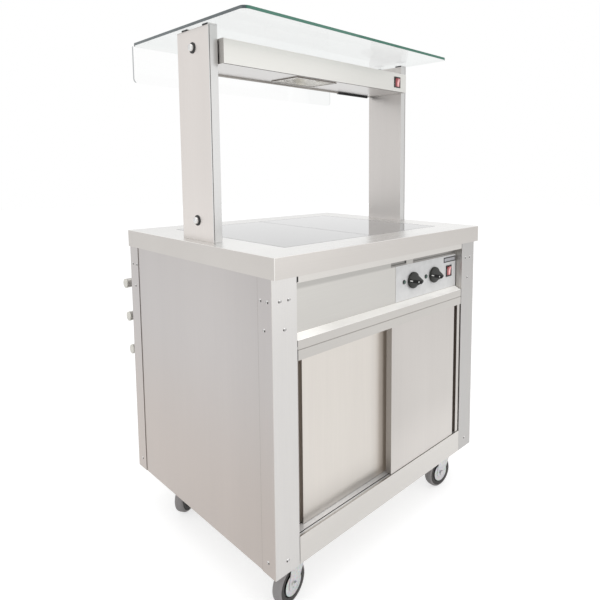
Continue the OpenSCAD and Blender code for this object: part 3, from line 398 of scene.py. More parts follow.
def litLens(name, dim, bright, glow, middle, reach):
    f = Finish(name, {"Roughness": 0.18, "Coat Weight": 0.4, "Emission Strength": 1.0})
    x, _, z = f.axes()
    far = (((x - middle.x) / reach[0]) ** 2.0 + ((z - middle.z) / reach[1]) ** 2.0) ** 0.5
    heart = 1 - far.fade(0.1, 1.0)
    ribs = f.noise(700.0, 2.0)
    f.give("Base Color", f.mix(heart, dim, bright))
    f.give("Emission Color", f.mix(heart, toned(dim, glow * 0.3), toned(bright, glow)))
    f.bump(ribs, 0.08, 0.0003)
    return f.material


panelPattern = {  # the printed border and specks of a hot panel, in metres
    "halfX": 0.151,
    "halfY": 0.263,
    "line": 0.0009,
    "speck": 0.16,
    "print": (0.42, 0.42, 0.41),
    "glass": ((0.052, 0.053, 0.055), (0.068, 0.067, 0.069)),
}


def ceramicGlass(name, centreX):
    s = panelPattern
    f = Finish(name, {"Coat Weight": 0.9, "Coat Roughness": 0.03})
    x, y, _ = f.axes()
    across, along = abs(x - centreX / 1000), abs(y - home)
    ends = abs(across - s["halfX"]).below(s["line"]) * along.below(s["halfY"] + 0.0005)
    sides = abs(along - s["halfY"]).below(s["line"]) * across.below(s["halfX"] + 0.0005)
    border = ends.most(sides)
    values = {"Vector": f.coords(), "Scale": 240.0}
    cells = f.add("ShaderNodeTexVoronoi", {"feature": "F1"}, values, "Distance")
    specks = cells.below(s["speck"]) * 0.5
    cloud = f.noise(5.0, 3.0)
    f.give("Base Color", f.mix((border * 0.75).most(specks), f.mix(cloud, *s["glass"]), s["print"]))
    f.give("Roughness", 0.07 + cloud * 0.04 + border * 0.2)
    return f.material


print("finishes ready")

# Lights and the pale room
room = {
    "floorColour": shown(196, 196, 196),
    "floorGlow": 0.62,
    "floorRadius": 14,
    "worldLevel": 0.80,
    "lamps": {  # place, aim, size in metres, watts
        "overhead": ((-0.6, -0.8, 4.2), (0, 0, 0.7), (5.0, 5.0), 46),
        "left": ((-4.6, 0.4, 1.9), (0, 0, 0.8), (4.0, 3.0), 12),
        "front": ((1.4, -4.4, 1.4), (0, 0, 0.7), (4.4, 3.0), 20),
    },
}


def makeRoom(s):
    world = bpy.data.worlds.new("studio")
    bpy.context.scene.world = world
    world.use_nodes = True
    tree = world.node_tree
    tree.nodes.clear()
    path = tree.nodes.new("ShaderNodeLightPath")
    sight = path.outputs["Is Camera Ray"]
    for kind in ("Is Glossy Ray", "Is Transmission Ray"):
        most = tree.nodes.new("ShaderNodeMath")
        most.operation = "MAXIMUM"
        tree.links.new(sight, most.inputs[0])
        tree.links.new(path.outputs[kind], most.inputs[1])
        sight = most.outputs[0]
    level = tree.nodes.new("ShaderNodeMapRange")
    tree.links.new(sight, level.inputs["Value"])
    level.inputs["To Min"].default_value = s["worldLevel"]
    level.inputs["To Max"].default_value = 1.0
    back = tree.nodes.new("ShaderNodeBackground")
    back.inputs["Color"].default_value = (1, 1, 1, 1)
    tree.links.new(level.outputs[0], back.inputs["Strength"])
    out = tree.nodes.new("ShaderNodeOutputWorld")
    tree.links.new(back.outputs[0], out.inputs["Surface"])

    bm = bmesh.new()
    bmesh.ops.create_circle(bm, cap_ends=True, segments=64, radius=s["floorRadius"])
    mesh = bpy.data.meshes.new("floor")
    bm.to_mesh(mesh)
    bm.free()
    floor = bpy.data.objects.new("floor", mesh)
    bpy.context.scene.collection.objects.link(floor)
    fixed = {"Roughness": 0.9, "Specular IOR Level": 0.1, "Emission Strength": 1.0}
    f = Finish("studio floor", fixed)
    f.give("Base Color", f.mix(f.noise(3.0, 2.0), toned(s["floorColour"], 0.99), s["floorColour"]))
    camera = f.add("ShaderNodeLightPath", {}, {}, "Is Camera Ray")
    outs = camera.socket.node.outputs
    seen = camera.most(Wire(f, outs["Is Glossy Ray"])).most(Wire(f, outs["Is Transmission Ray"]))
    f.give("Emission Color", f.mix(seen, (0, 0, 0), (s["floorGlow"],) * 3))
    floor.data.materials.append(f.material)
    floor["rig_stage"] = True

    for name, (place, aim, size, watts) in s["lamps"].items():
        data = bpy.data.lights.new(name, "AREA")
        data.shape = "RECTANGLE"
        data.size, data.size_y = size
        data.energy = watts
        lamp = bpy.data.objects.new(name, data)
        bpy.context.scene.collection.objects.link(lamp)
        lamp.location = place
        lamp.rotation_mode = "QUATERNION"
        lamp.rotation_quaternion = (Vector(aim) - Vector(place)).to_track_quat("-Z", "Y")


makeRoom(room)
print("room lit")


# Shared ways of making pieces
def piece(name, bm, body, finishes, smooth=None):
    mesh = bpy.data.meshes.new(name)
    bm.to_mesh(mesh)
    bm.free()
    obj = bpy.data.objects.new(name, mesh)
    bpy.context.scene.collection.objects.link(obj)
    for finish in finishes:
        mesh.materials.append(finish)
    if smooth is not None:
        mesh.shade_smooth()
        mesh.set_sharp_from_angle(angle=math.radians(smooth))
    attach(obj, body)
    return obj


def rounded(bm, edges, width, segments, clamp=False):
    bmesh.ops.bevel(
        bm,
        geom=edges,
        offset=width,
        segments=segments,
        profile=0.5,
        affect="EDGES",
        material=-1,
        clamp_overlap=clamp,
    )


def joinFlat(bm):  # faces that lie in one plane become one
    bmesh.ops.dissolve_limit(bm, angle_limit=math.radians(0.5), verts=bm.verts, edges=bm.edges)


# corner: a test for the edges that get a wider rounding first, and its width
def softened(node, width, finish, segments=2, turn=30, smooth=None, corner=None):
    source = frame["nodes"][node]
    bm = bmesh.new()
    bm.from_mesh(source.data)
    bmesh.ops.remove_doubles(bm, verts=bm.verts, dist=1e-6)
    joinFlat(bm)

    def sharpEdges():
        shared = [e for e in bm.edges if len(e.link_faces) == 2]
        return [e for e in shared if e.calc_face_angle(0) > math.radians(turn)]

    if corner:
        test, wide = corner
        rounded(bm, [e for e in sharpEdges() if test(e)], wide, 3)
    rounded(bm, sharpEdges(), width, segments, True)
    for face in bm.faces:
        face.material_index = 0
    obj = piece(node + "_soft", bm, source["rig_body"], [finish], smooth)
    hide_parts(node)
    return obj


def refinish(obj, finish, test):  # gives the faces that pass the test a finish of their own
    obj.data.materials.append(finish)
    last = len(obj.data.materials) - 1
    for face in obj.data.polygons:
        if test(face.normal, face.center):
            face.material_index = last


def dress(finish, *nodes):
    for node in nodes:
        mesh = frame["nodes"][node].data
        mesh.materials.clear()
        mesh.materials.append(finish)


steelX = brushedSteel("cross", "x")
plinthSteel = brushedSteel("plinth", "x")
# Painted shadow: a darker band along the top rail's upper edge, under the worktop's skirt, and along the
# fascia's upper edge, under the rail
railSteel = brushedSteel("rail", "x", shades=[("z", 844, 847, 0.16)])
fasciaSteel = brushedSteel("fascia", "x", shades=[("z", 805, 812, 0.22)])
# Upright steel: darker at the right-hand end, painted shade on the right legs' faces
steelZ = brushedSteel("upright", "z", shades=[("x", 300, 370, 0.24)])
# Top face: lighter than the skirt, painted light, and darker toward the rear, painted shade; the bright
# edge tone is a painted highlight
topSteel = brushedSteel("topFace", "x", 0.30, shades=[("y", -250, 250, 0.10)])
skirtSteel = brushedSteel("skirt", "x", 0.34)
edgeSteel = brushedSteel("brightEdge", "x", 0.30)
# Side panels: darker toward the bottom and toward the front edge, painted shade, and warmer toward the
# bottom
sideSteel = brushedSteel(
    "side", "z", 0.36, (1.1, 1.1, 0.8), [("z", 760, 300, 0.05), ("y", -120, -330, 0.05)],
    tint=("z", 700, 200, shown(190, 180, 173), 0.75),
)
# Left door: darker toward the right door and toward the bottom, painted shade, with a warm painted glow in
# that shade
leftDoorSteel = brushedSteel(
    "door", "z", 0.33, (1.8, 1.8, 1.2), [("x", -70, -16, 0.16), ("z", 300, 206, 0.10)],
    glare=(-62, -26, 0.0, 0.075, (1, 0.80, 0.62)),
)
# Right door: a darker tone than the left, painted shade, and lighter toward the bottom, painted light
rightDoorSteel = brushedSteel("doorRight", "z", 0.33, (1.8, 1.8, 1.2), [("z", 380, 230, -0.10)])
doorSteel = brushedSteel("door", "z", 0.33, (1.8, 1.8, 1.2))
# Post tones for the outer, front and inner faces: lit and shaded copies of one steel, painted light and
# shade
postSteel = brushedSteel("post", "z", 0.34, (1.5, 1.5, 0.9))
postFrontSteel = brushedSteel("postFront", "z", 0.34, (1.5, 1.5, 0.9))
postInnerSteel = brushedSteel("postInner", "z", 0.34, (1.5, 1.5, 0.9))
# Housing: slightly darker toward the left end, painted shade
housingSteel = brushedSteel("housing", "x", 0.33, shades=[("x", 60, -300, 0.02)])
# Ledge slope: bright, nearly matt, with a glow rising toward its left end: painted highlight and painted
# glare
ledgeSteel = brushedSteel(
    "ledge", "x", 0.24, metallic=0.15, glare=(-200, -340, 0.20, 0.28, (1, 0.995, 0.97))
)
# Sill: bright at the left, darker toward the right: painted reflection and painted shade
sillSteel = brushedSteel("sill", "x", 0.22, shades=[("x", -250, 10, 0.45)], metallic=0.35)
# Return steel: a darker copy of the steel, painted shade on the returns and on the housing's left end
returnSteel = brushedSteel("return", "z", 0.4)
# Inside steel: a faint painted glow keeps the shaded insides from going black
insideSteel = brushedSteel(
    "inside", "x", 0.42, metallic=0.8, glare=(-400, 400, 0.05, 0.02, (1, 0.98, 0.95))
)
shadedSteel = brushedSteel("shaded", "z", 0.45)
brownSteel = brushedSteel("brown", "z", 0.45)
# Dark steel: painted shade in the right door's pull and on the lamp frame's outer sides
darkSteel = brushedSteel("dark", "x", 0.5)
# Vent and pull steel: a faint painted glow lightens the shade in the slots and in the left door's pull
ventSteel = brushedSteel("vent", "x", 0.45, glare=(-400, 0, 0.05, 0.03, (1, 0.97, 0.94)))
pullSteel = brushedSteel("pull", "z", 0.45, glare=(-300, -400, 0.0, 0.06, (1, 0.85, 0.72)))
# Groove steel: painted shade in the sill's grooves
grooveSteel = brushedSteel("dark", "x", 0.6)
boltSteel = polishedSteel("polished bolts", 0.72, 0.16)
buttonSteel = polishedSteel("polished buttons", 0.88, 0.14)
rivetSteel = rivetFinish("rivet heads")
zinc = zincPlate("zinc plate")
underSteel = brushedSteel("under", "x", 0.30)
# The pocket: bright polished steel with a painted glow; the lamp in it is off
pocketGlowSteel = polishedSteel("bright pocket with painted glow", 1.12, 0.22, (0.13, 0.128, 0.122))
# Painted shade: dark strips in the post grooves and along the housing's front seam
seamShade = mouldedPlastic("painted seam shade", shown(84, 78, 76), 0.7, 600.0, 0.1)
blackPlastic = mouldedPlastic("black plastic", (0.022, 0.022, 0.023), 0.40)
whitePlastic = mouldedPlastic("off-white plastic", (0.78, 0.76, 0.70), 0.42)
ivory = mouldedPlastic("ivory plastic", (0.74, 0.69, 0.56), 0.45)
greyTread = mouldedPlastic("grey tread", (0.33, 0.315, 0.315), 0.62, 500.0, 0.3)
# Black for the glass pads, and also painted shade: black strips in the gaps beside the top rail and the
# lip, and dark rings under the bolt buttons
blackRubberAndShade = mouldedPlastic("black rubber and painted shade", (0.02, 0.02, 0.021), 0.6, 400.0, 0.25)
sideRubber = mouldedPlastic("wheel side rubber", (0.045, 0.042, 0.040), 0.6, 400.0, 0.25)
labelSatin = mouldedPlastic("satin label", shown(228, 228, 228), 0.42, 900.0, 0.05, 0.1)
wool = mouldedPlastic("mineral wool", (0.62, 0.55, 0.32), 0.95, 240.0, 0.9)
darkSheath = mouldedPlastic("oxidised sheath", (0.09, 0.085, 0.08), 0.55, 700.0, 0.3)

dress(topSteel, "worktop")
dress(steelZ, "front_legs", "rear_legs", "back_panel")
dress(postSteel, "post_left", "post_right")
dress(sideSteel, "side_panel_left", "side_panel_right")
dress(steelX, "head_rail")
dress(plinthSteel, "plinth_rail")
dress(railSteel, "top_rail")
dress(sillSteel, "door_tracks")
dress(fasciaSteel, "fascia_panel")
dress(ledgeSteel, "control_ledge")
dress(housingSteel, "lamp_housing")
dress(doorSteel, "door_left", "door_right", "door_left_back", "door_right_back")
dress(insideSteel, "hot_top_pan", "base_pan", "cupboard_liner", "shelf", "element_cover")
dress(rivetSteel, "rivets")
dress(zinc, "castor_plates", "castor_fl_fork", "castor_fr_fork", "castor_rl_fork", "castor_rr_fork")
dress(greyTread, "castor_fl_wheel", "castor_fr_wheel", "castor_rl_wheel", "castor_rr_wheel")
dress(steelZ, "slide_arms", "slide_brackets")
dress(steelX, "slide_tubes")
dress(whitePlastic, "slide_caps", "heat_lamp")
dress(ivory, "terminal_block")
dress(labelSatin, "control_plate")
dress(blackPlastic, "knob_hot_top", "knob_cupboard", "switch_bodies", "cable_gland", "thermostats")
dress(wool, "insulation")
dress(darkSheath, "cupboard_element", "hot_top_elements")
dress(blackRubberAndShade, "glass_pads")
dress(ceramicGlass("hot panel, left", -160), "hot_plate_left")
dress(ceramicGlass("hot panel, right", 160), "hot_plate_right")
print("nodes dressed")


# Turns an outline of (radius, height) round the local Z axis
def spun(bm, outline, steps=48):
    before = set(bm.verts)
    rim = [bm.verts.new((r, 0, h)) for r, h in outline]
    sides = [bm.edges.new((a, b)) for a, b in zip(rim, rim[1:])]
    bmesh.ops.spin(
        bm,
        geom=rim + sides,
        cent=(0, 0, 0),
        axis=(0, 0, 1),
        angle=math.tau,
        steps=steps,
        use_merge=True,
        use_normal_flip=False,
    )
    made = [v for v in bm.verts if v not in before]
    bmesh.ops.remove_doubles(bm, verts=made, dist=1e-6)
    made = [v for v in bm.verts if v not in before]
    bmesh.ops.recalc_face_normals(bm, faces=list({f for v in made for f in v.link_faces}))
    return made


# A block with rounded edges, its middle and size in millimetres
def block(bm, middle, size, edge=0.0, segments=2):
    made = bmesh.ops.create_cube(bm, size=1)["verts"]
    bmesh.ops.scale(bm, verts=made, vec=Vector(size) / 1000)
    bmesh.ops.translate(bm, verts=made, vec=Vector(middle) / 1000)
    if edge:
        rounded(bm, list({e for v in made for e in v.link_edges}), edge / 1000, segments)
    return made


# Blocks that count from the worktop's middle: each a middle, a size and perhaps its rounding
def slabs(places):
    bm = bmesh.new()
    for middle, size, *rounding in places:
        block(bm, middle, size, *rounding)
    bmesh.ops.translate(bm, verts=bm.verts, vec=(0, home, 0))
    return bm


def between(low, high):  # middle and size of a span
    return (low + high) / 2, high - low


def outFrom(x, y, z, turn=0.0):  # local Z points out of the front, local Y up
    return (
        Matrix.Translation(spot(x, y, z))
        @ Matrix.Rotation(math.radians(90), 4, "X")
        @ Matrix.Rotation(math.radians(turn), 4, "Z")
    )


# Edges of folded sheet and of mouldings
sheetEdges = {
    "head_rail": (0.0005, steelX),
    "plinth_rail": (0.0005, plinthSteel),
    "top_rail": (0.0005, railSteel),
    "slide_arms": (0.0008, steelZ),
    "slide_brackets": (0.0005, steelZ),
    "switch_bodies": (0.0008, blackPlastic),
    "castor_plates": (0.0005, zinc),
    "slide_caps": (0.0012, whitePlastic),
    "cable_gland": (0.0005, blackPlastic),
}
for node, (width, finish) in sheetEdges.items():
    hasRounds = node.startswith(("castor", "slide", "cable"))
    softened(node, width, finish, smooth=35 if hasRounds else None)

# The doors: their pulls and the right one's free end lie in shade
doorShape = {
    "soft": 0.0004,
    "face": 0.008,
    "pulls": {
        "door_left": (-0.336, -0.3185, leftDoorSteel, pullSteel),
        "door_right": (0.3185, 0.336, rightDoorSteel, darkSteel),
    },
}


def makeDoor(node, s):
    fromX, toX, sheet, pull = s["pulls"][node]
    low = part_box(node)[0]

    def inPull(n, c):
        return fromX < c.x < toX and (abs(n.x) > 0.9 or c.y > low.y + s["face"])

    def freeEnd(n, c):
        outermost = c.x < low.x + 0.001
        return n.x < -0.9 and outermost == (node == "door_right") and c.x < 0

    door = softened(node, s["soft"], sheet)
    refinish(door, pull, inPull)
    refinish(door, shadedSteel, freeEnd)


for node in doorShape["pulls"]:
    makeDoor(node, doorShape)

# Corner posts: duller returns beside the doors and on the bent corners, painted shade; flanges that match
# the side panels
legShape = {
    "soft": 0.0007,
    "wide": 0.0013,
    "outer": 0.42,
    "inner": 0.358,
    "corner": (0.428, -0.357, 0.3),
}


def legCorner(e):
    a, b = (v.co for v in e.verts)
    x, y, tall = legShape["corner"]
    return all(abs(v.x) > x and v.y < home + y for v in (a, b)) and abs(a.z - b.z) > tall


def outerFlange(n, c):
    return abs(n.x) > 0.9 and abs(c.x) > legShape["outer"]


def bentCorner(n, c):
    return min(abs(n.x), abs(n.y)) > 0.2 and abs(c.x) > legShape["outer"]


def innerReturn(n, c):
    return abs(n.x) > 0.9 and abs(c.x) < legShape["inner"]


legs = softened("front_legs", legShape["soft"], steelZ, corner=(legCorner, legShape["wide"]))
refinish(legs, returnSteel, bentCorner)
refinish(legs, returnSteel, innerReturn)
refinish(legs, sideSteel, outerFlange)
refinish(softened("rear_legs", legShape["soft"], steelZ), sideSteel, outerFlange)

# Sill and upper track: dark grooves, painted shade
trackShape = {"soft": 0.0004, "grooves": (0.15, 0.1966)}


def inGrooves(n, c):
    low, high = trackShape["grooves"]
    return low < c.z < high


refinish(softened("door_tracks", trackShape["soft"], sillSteel), grooveSteel, inGrooves)

# Worktop: a bright top, painted light, and a bright rounded edge that catches the light, a painted
# highlight
topShape = {
    "soft": 0.0005,
    "wide": 0.0011,
    "edge": (0.4295, 0.3725),
    "skirt": (0.426, 0.369),
    "height": 0.8995,
    "corner": 0.03,
}


def topEdge(e):
    a, b = (v.co for v in e.verts)
    x, y = topShape["edge"]
    outer = all(abs(v.x) > x or abs(v.y - home) > y for v in (a, b))
    return outer and (min(a.z, b.z) > topShape["height"] or abs(a.z - b.z) > topShape["corner"])


def roundedRim(n, c):
    x, y = topShape["skirt"]
    return (abs(c.x) > x or abs(c.y - home) > y) and max(abs(v) for v in n) < 0.97 and n.z > -0.1


top = softened("worktop", topShape["soft"], skirtSteel, corner=(topEdge, topShape["wide"]))
refinish(top, edgeSteel, roundedRim)
refinish(top, topSteel, lambda n, c: n.z > 0.97)

# Gantry posts: a greyer front and rear, a duller inner face: painted shade on those faces
postShape = {"soft": 0.0006, "inner": 0.38}
for node in ("post_left", "post_right"):
    post = softened(node, postShape["soft"], postSteel)
    refinish(post, postFrontSteel, lambda n, c: abs(n.y) > 0.9)
    refinish(post, postInnerSteel, lambda n, c: abs(n.x) > 0.9 and abs(c.x) < postShape["inner"])

# Ledge: a bright slope, painted light and painted glare
ledgeShape = {"soft": 0.0005, "slope": 0.4}
ledge = softened("control_ledge", ledgeShape["soft"], steelX)
refinish(ledge, ledgeSteel, lambda n, c: n.z > ledgeShape["slope"])

# Lamp housing: a painted highlight on its upper front edge, and a duller left end in painted shade
housingShape = {"soft": 0.0005, "wide": 0.0012, "top": 1.4235, "front": -0.1015, "long": 0.3}


def housingEdge(e):
    s = housingShape
    a, b = (v.co for v in e.verts)
    upperFront = all(v.z > s["top"] and v.y < home + s["front"] for v in (a, b))
    return upperFront and abs(a.x - b.x) > s["long"]


upperEdge = (housingEdge, housingShape["wide"])
housing = softened("lamp_housing", housingShape["soft"], housingSteel, corner=upperEdge)
refinish(housing, returnSteel, lambda n, c: n.x < -0.9)
refinish(housing, edgeSteel, lambda n, c: n.z > 0.2 and n.y < -0.2)

# Pads under the top glass: the ends that face the front look like the posts
padShape = {"soft": 0.0005, "front": -0.07}
pads = softened("glass_pads", padShape["soft"], blackRubberAndShade)
refinish(pads, postFrontSteel, lambda n, c: n.y < -0.5 and c.y - home < padShape["front"])
print("sheet edges softened")

# Dark strip in the groove down each post's front: painted shade in the groove
postOuter = 399.75
seamShape = {
    "post": postOuter,
    "at": 3.4,
    "width": 1.4,
    "deep": 0.5,
    "front": -77.2,
    "low": 901,
    "high": 1455,
}


def makeSeams(s):
    z, tall = between(s["low"], s["high"])
    y = s["front"] - s["deep"] / 2
    x, size = s["post"] - s["at"], (s["width"], s["deep"], tall)
    places = [((side * x, y, z), size) for side in (-1, 1)]
    piece("post_seams", slabs(places), "cabinet", [seamShade])


makeSeams(seamShape)

# Painted shade in the gaps beside the top rail and the lip, and at the lip's lower edge; and joints at the
# corner posts
legFront, legBack, flangeReach = -358, 365, 52.7
flangeEnds = (legFront + flangeReach, legBack - flangeReach)
flangeJoints = [(side * 427.4, y, 487) for side in (-1, 1) for y in flangeEnds]
gapShape = {
    "slot": (blackRubberAndShade, [((-352.6, -358.0, 839.5), (4.6, 0.7, 16))]),
    "lip_end": (blackRubberAndShade, [((-353.8, -358.0, 656), (1.8, 0.7, 26))]),
    "lip": (shadedSteel, [((0, -356.6, 668), (706, 0.6, 2.4))]),
    "plinth_joint": (plinthSteel, [((354.6, -357.5, 160.5), (3.6, 0.5, 70))]),
    "flange": (brownSteel, [(middle, (1.4, 1.0, 722)) for middle in flangeJoints]),
}


def makeGaps(s):
    for name, (finish, places) in s.items():
        piece(name + "_gap", slabs(places), "cabinet", [finish])


makeGaps(gapShape)

# Underside of the housing: satin panel, a pocket made bright by a painted glow, with a frame whose outer
# sides are painted shade, rear lip in shaded steel and a front seam of painted shade
underShape = {
    "soft": 0.0003,
    "pocket": (-104.5, 50.5, -70.5, 46.5),
    "panel": 1363.6,
    "lip": [((-82.5, 73.6, 1360.6), (571, 6.0, 4.8), 0.4)],
    "seam": [((0, -96.4, 1362.2), (737, 8.4, 1.4), 0.2, 1)],
}


def makeUnderside(s):
    x0, x1, y0, y1 = (v / 1000 for v in s["pocket"])

    def inPocket(n, c):
        within = x0 < c.x < x1 and y0 < c.y - home < y1
        return within and (c.z > s["panel"] / 1000 or abs(n.z) < 0.5)

    def shadedSide(n, c):
        return n.x < -0.9 and c.x < x0 or n.y < -0.9 and c.y - home < y0

    refinish(softened("reflector_panel", s["soft"], underSteel, 1), pocketGlowSteel, inPocket)
    refinish(softened("lamp_frame", s["soft"], underSteel, 1), darkSteel, shadedSide)
    piece("rear_lip", slabs(s["lip"]), "cabinet", [shadedSteel])
    piece("front_seam", slabs(s["seam"]), "cabinet", [seamShade])


makeUnderside(underShape)

# Dull channel behind the fascia's two slots, with a faint painted glow, and a strip under each slot in the
# same dull steel: painted shade that makes each slot look taller
ventShape = {
    "channel": ((182, -330.8, 819), (340, 4, 17)),
    "wall": 1.2,
    "slotShades": [
        ((51.5, -334.1, 811.45), (71, 0.4, 4.5)),
        ((234.65, -334.1, 811.45), (229.3, 0.4, 4.5)),
    ],
}


def makeVentChannel(s):
    middle, size = s["channel"]
    bm = bmesh.new()
    block(bm, middle, size)
    face = min(bm.faces, key=lambda f: f.calc_center_median().y)
    bmesh.ops.inset_region(bm, faces=[face], thickness=s["wall"] / 1000)
    bmesh.ops.translate(bm, verts=face.verts, vec=(0, (size[1] - s["wall"]) / 1000, 0))
    bmesh.ops.translate(bm, verts=bm.verts, vec=(0, home, 0))
    piece("vent_channel", bm, "cabinet", [ventSteel])
    piece("vent_slot_shades", slabs(s["slotShades"]), "cabinet", [ventSteel])


makeVentChannel(ventShape)
print("vent channel made")

# Knobs: low skirt, teardrop nose, raised grip bar, white line and dot
knobShape = {
    "places": {"knob_hot_top": ("hot_top_knob", 117), "knob_cupboard": ("cupboard_knob", 226)},
    "face": -334.8,
    "height": 758,
    "turn": -14,
    "gap": 1.2,
    "skirt": [
        (0, 0), (24, 0), (25, 1), (25, 5.4), (24.5, 6.6),
        (23.4, 7.6), (21.4, 8.3), (17, 8.8), (8, 9.1), (0, 9.2),
    ],
    "spindle": [(0, -14), (3, -14), (3, 2)],
    "nose": {"radius": 19.5, "tip": 5.6, "reach": 45, "low": 4, "high": 9.3, "rim": 2.2},
    "bar": {
        "from": -24.2,
        "to": 34,
        "width": 11,
        "foot": 7.0,
        "high": 13.4,
        "lowEnd": 10.0,
        "aside": -3.6,
        "rim": 0.9,
    },
    "line": {"from": -23.6, "to": -11, "width": 3.0},
    "dot": {"at": 17.5, "radius": 2.4},
}
charcoal = mouldedPlastic("charcoal knob", (0.032, 0.033, 0.030), 0.30, 800.0, 0.15, 0.0, 0.28)
barBlackShade = mouldedPlastic("knob grip bar", (0.004, 0.004, 0.004), 0.45, 800.0, 0.12, 0.0, 0.12)
whitePaint = mouldedPlastic("white marking", (0.82, 0.82, 0.80), 0.5, 600.0, 0.05)


def makeKnob(node, s):
    body, x = s["places"][node]
    place = outFrom(x, s["face"], s["height"], s["turn"])
    n, b = s["nose"], s["bar"]

    # body and nose: a round skirt, and the hull of a wide and a narrow disc
    bm = bmesh.new()
    discs = []
    for level in (n["low"], n["high"]):
        for radius, along, steps in ((n["radius"], 2, 48), (n["tip"], n["reach"] - n["tip"], 24)):
            disc = bmesh.ops.create_circle(bm, segments=steps, radius=radius / 1000)["verts"]
            bmesh.ops.translate(bm, verts=disc, vec=(along / 1000, 0, (level + s["gap"]) / 1000))
            discs += disc
    hull = bmesh.ops.convex_hull(bm, input=discs)
    spare = {v for key in ("geom_interior", "geom_unused") for v in hull[key]}
    spare = [v for v in spare if isinstance(v, bmesh.types.BMVert)]
    bmesh.ops.delete(bm, geom=spare, context="VERTS")
    bmesh.ops.delete(bm, geom=[e for e in bm.edges if not e.link_faces], context="EDGES")
    joinFlat(bm)
    topLevel = (n["high"] + s["gap"] - 0.1) / 1000
    rim = [e for e in bm.edges if all(v.co.z > topLevel for v in e.verts)]
    rounded(bm, rim, n["rim"] / 1000, 4)
    spun(bm, [(r / 1000, (h + s["gap"]) / 1000) for r, h in s["skirt"]], 64)
    spun(bm, [(r / 1000, h / 1000) for r, h in s["spindle"]], 24)
    bmesh.ops.recalc_face_normals(bm, faces=bm.faces)
    bmesh.ops.transform(bm, matrix=place, verts=bm.verts)
    knob = piece(node + "_cap", bm, body, [charcoal], 40)
    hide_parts(node)

    # grip bar, lower at its blunt end, blacker than the knob's body: the bar's own black and painted shade
    bm = bmesh.new()
    x, long = between(b["from"], b["to"])
    z, tall = between(s["gap"] + b["foot"], b["high"])
    bar = block(bm, (x, b["aside"], z), (long, b["width"], tall))
    for v in bar:
        if v.co.z > (b["high"] - 1) / 1000:
            v.co.y = b["aside"] / 1000 + (v.co.y - b["aside"] / 1000) * 0.8
            if v.co.x < 0:
                v.co.z = b["lowEnd"] / 1000
    rounded(bm, list({e for v in bar for e in v.link_edges}), b["rim"] / 1000, 3)
    bmesh.ops.transform(bm, matrix=place, verts=bm.verts)
    piece(node + "_grip", bm, body, [barBlackShade], 40)

    # marks
    def barTop(u):
        return b["lowEnd"] + (b["high"] - b["lowEnd"]) * (u - b["from"]) / (b["to"] - b["from"])

    bm = bmesh.new()
    line, dot = s["line"], s["dot"]
    middle, long = between(line["from"], line["to"])
    block(bm, (0, 0, 0), (long, line["width"], 0.5), 0.2)
    lean = math.atan2(b["high"] - b["lowEnd"], b["to"] - b["from"])
    bmesh.ops.rotate(bm, verts=bm.verts, cent=(0, 0, 0), matrix=Matrix.Rotation(-lean, 3, "Y"))
    raised = Vector((middle, b["aside"], barTop(middle) + 0.1)) / 1000
    bmesh.ops.translate(bm, verts=bm.verts, vec=raised)
    r, h = dot["radius"] / 1000, barTop(dot["at"]) / 1000
    disc = spun(bm, [(0, h + 0.0004), (r, h + 0.0004), (r, h - 0.0004)], 24)
    bmesh.ops.translate(bm, verts=disc, vec=(dot["at"] / 1000, b["aside"] / 1000, 0))
    bmesh.ops.transform(bm, matrix=place, verts=bm.verts)
    piece(node + "_marks", bm, body, [whitePaint], 40)


for node in knobShape["places"]:
    makeKnob(node, knobShape)
print("knobs made")

# Pilot lamps: bezel, domed green lens. The lamps are off: the lens's faint glow and brighter middle are a
# painted highlight.
pilotShape = {
    "places": (76, 185),
    "face": -334.8,
    "height": 758,
    "lens": 5.9,
    "dome": [(0, 4.6), (0.45, 4.3), (0.8, 3.4), (0.98, 2.2), (1, 1.2), (1, -2)],
    "bezel": [(5.9, 0.2), (5.9, 1.6), (6.2, 1.9), (6.4, 1.6), (6.6, 1.0), (6.6, 0.0), (5.9, -1)],
    "stem": [(0, -20), (4, -20), (4, 0.3), (0, 0.3)],
    "tones": ((0.008, 0.030, 0.022), (0.025, 0.10, 0.07)),
    "glow": 0.12,
    "reach": (0.006, 0.006),
}


def makePilots(s):
    for number, x in enumerate(s["places"]):
        middle, place = spot(x, s["face"], s["height"]), outFrom(x, s["face"], s["height"])
        lens = litLens("pilot lens %d" % (number + 1), *s["tones"], s["glow"], middle, s["reach"])
        bm = bmesh.new()
        spun(bm, [(s["lens"] / 1000 * r, h / 1000) for r, h in s["dome"]], 40)
        bmesh.ops.transform(bm, matrix=place, verts=bm.verts)
        piece("pilot_lens_%d" % (number + 1), bm, "cabinet", [lens], 40)
        bm = bmesh.new()
        spun(bm, [(r / 1000, h / 1000) for r, h in s["bezel"]], 40)
        spun(bm, [(r / 1000, h / 1000) for r, h in s["stem"]], 24)
        bmesh.ops.transform(bm, matrix=place, verts=bm.verts)
        ring = piece("pilot_bezel_%d" % (number + 1), bm, "cabinet", [blackPlastic], 40)
        if number == 0:
            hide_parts("pilot_lamps")


makePilots(pilotShape)
print("pilot lamps made")

# Rockers, lit from behind
rockerShape = {
    "places": {"main_rocker": (311, -336, 758), "lamp_rocker": (322, -102, 1392.5)},
    "soft": 0.0006,
    "heart": (0.0055, 0, -0.002),
    "tones": ((0.34, 0.035, 0.04), (0.86, 0.46, 0.46)),
    "glow": 0.42,
    "reach": (0.0095, 0.026),
}


def makeRocker(node, s):
    heart = spot(*s["places"][node]) + Vector(s["heart"])
    lens = litLens(node + " lens", *s["tones"], s["glow"], heart, s["reach"])
    softened(node, s["soft"], lens, 3)


for node in rockerShape["places"]:
    makeRocker(node, rockerShape)
print("rockers made")

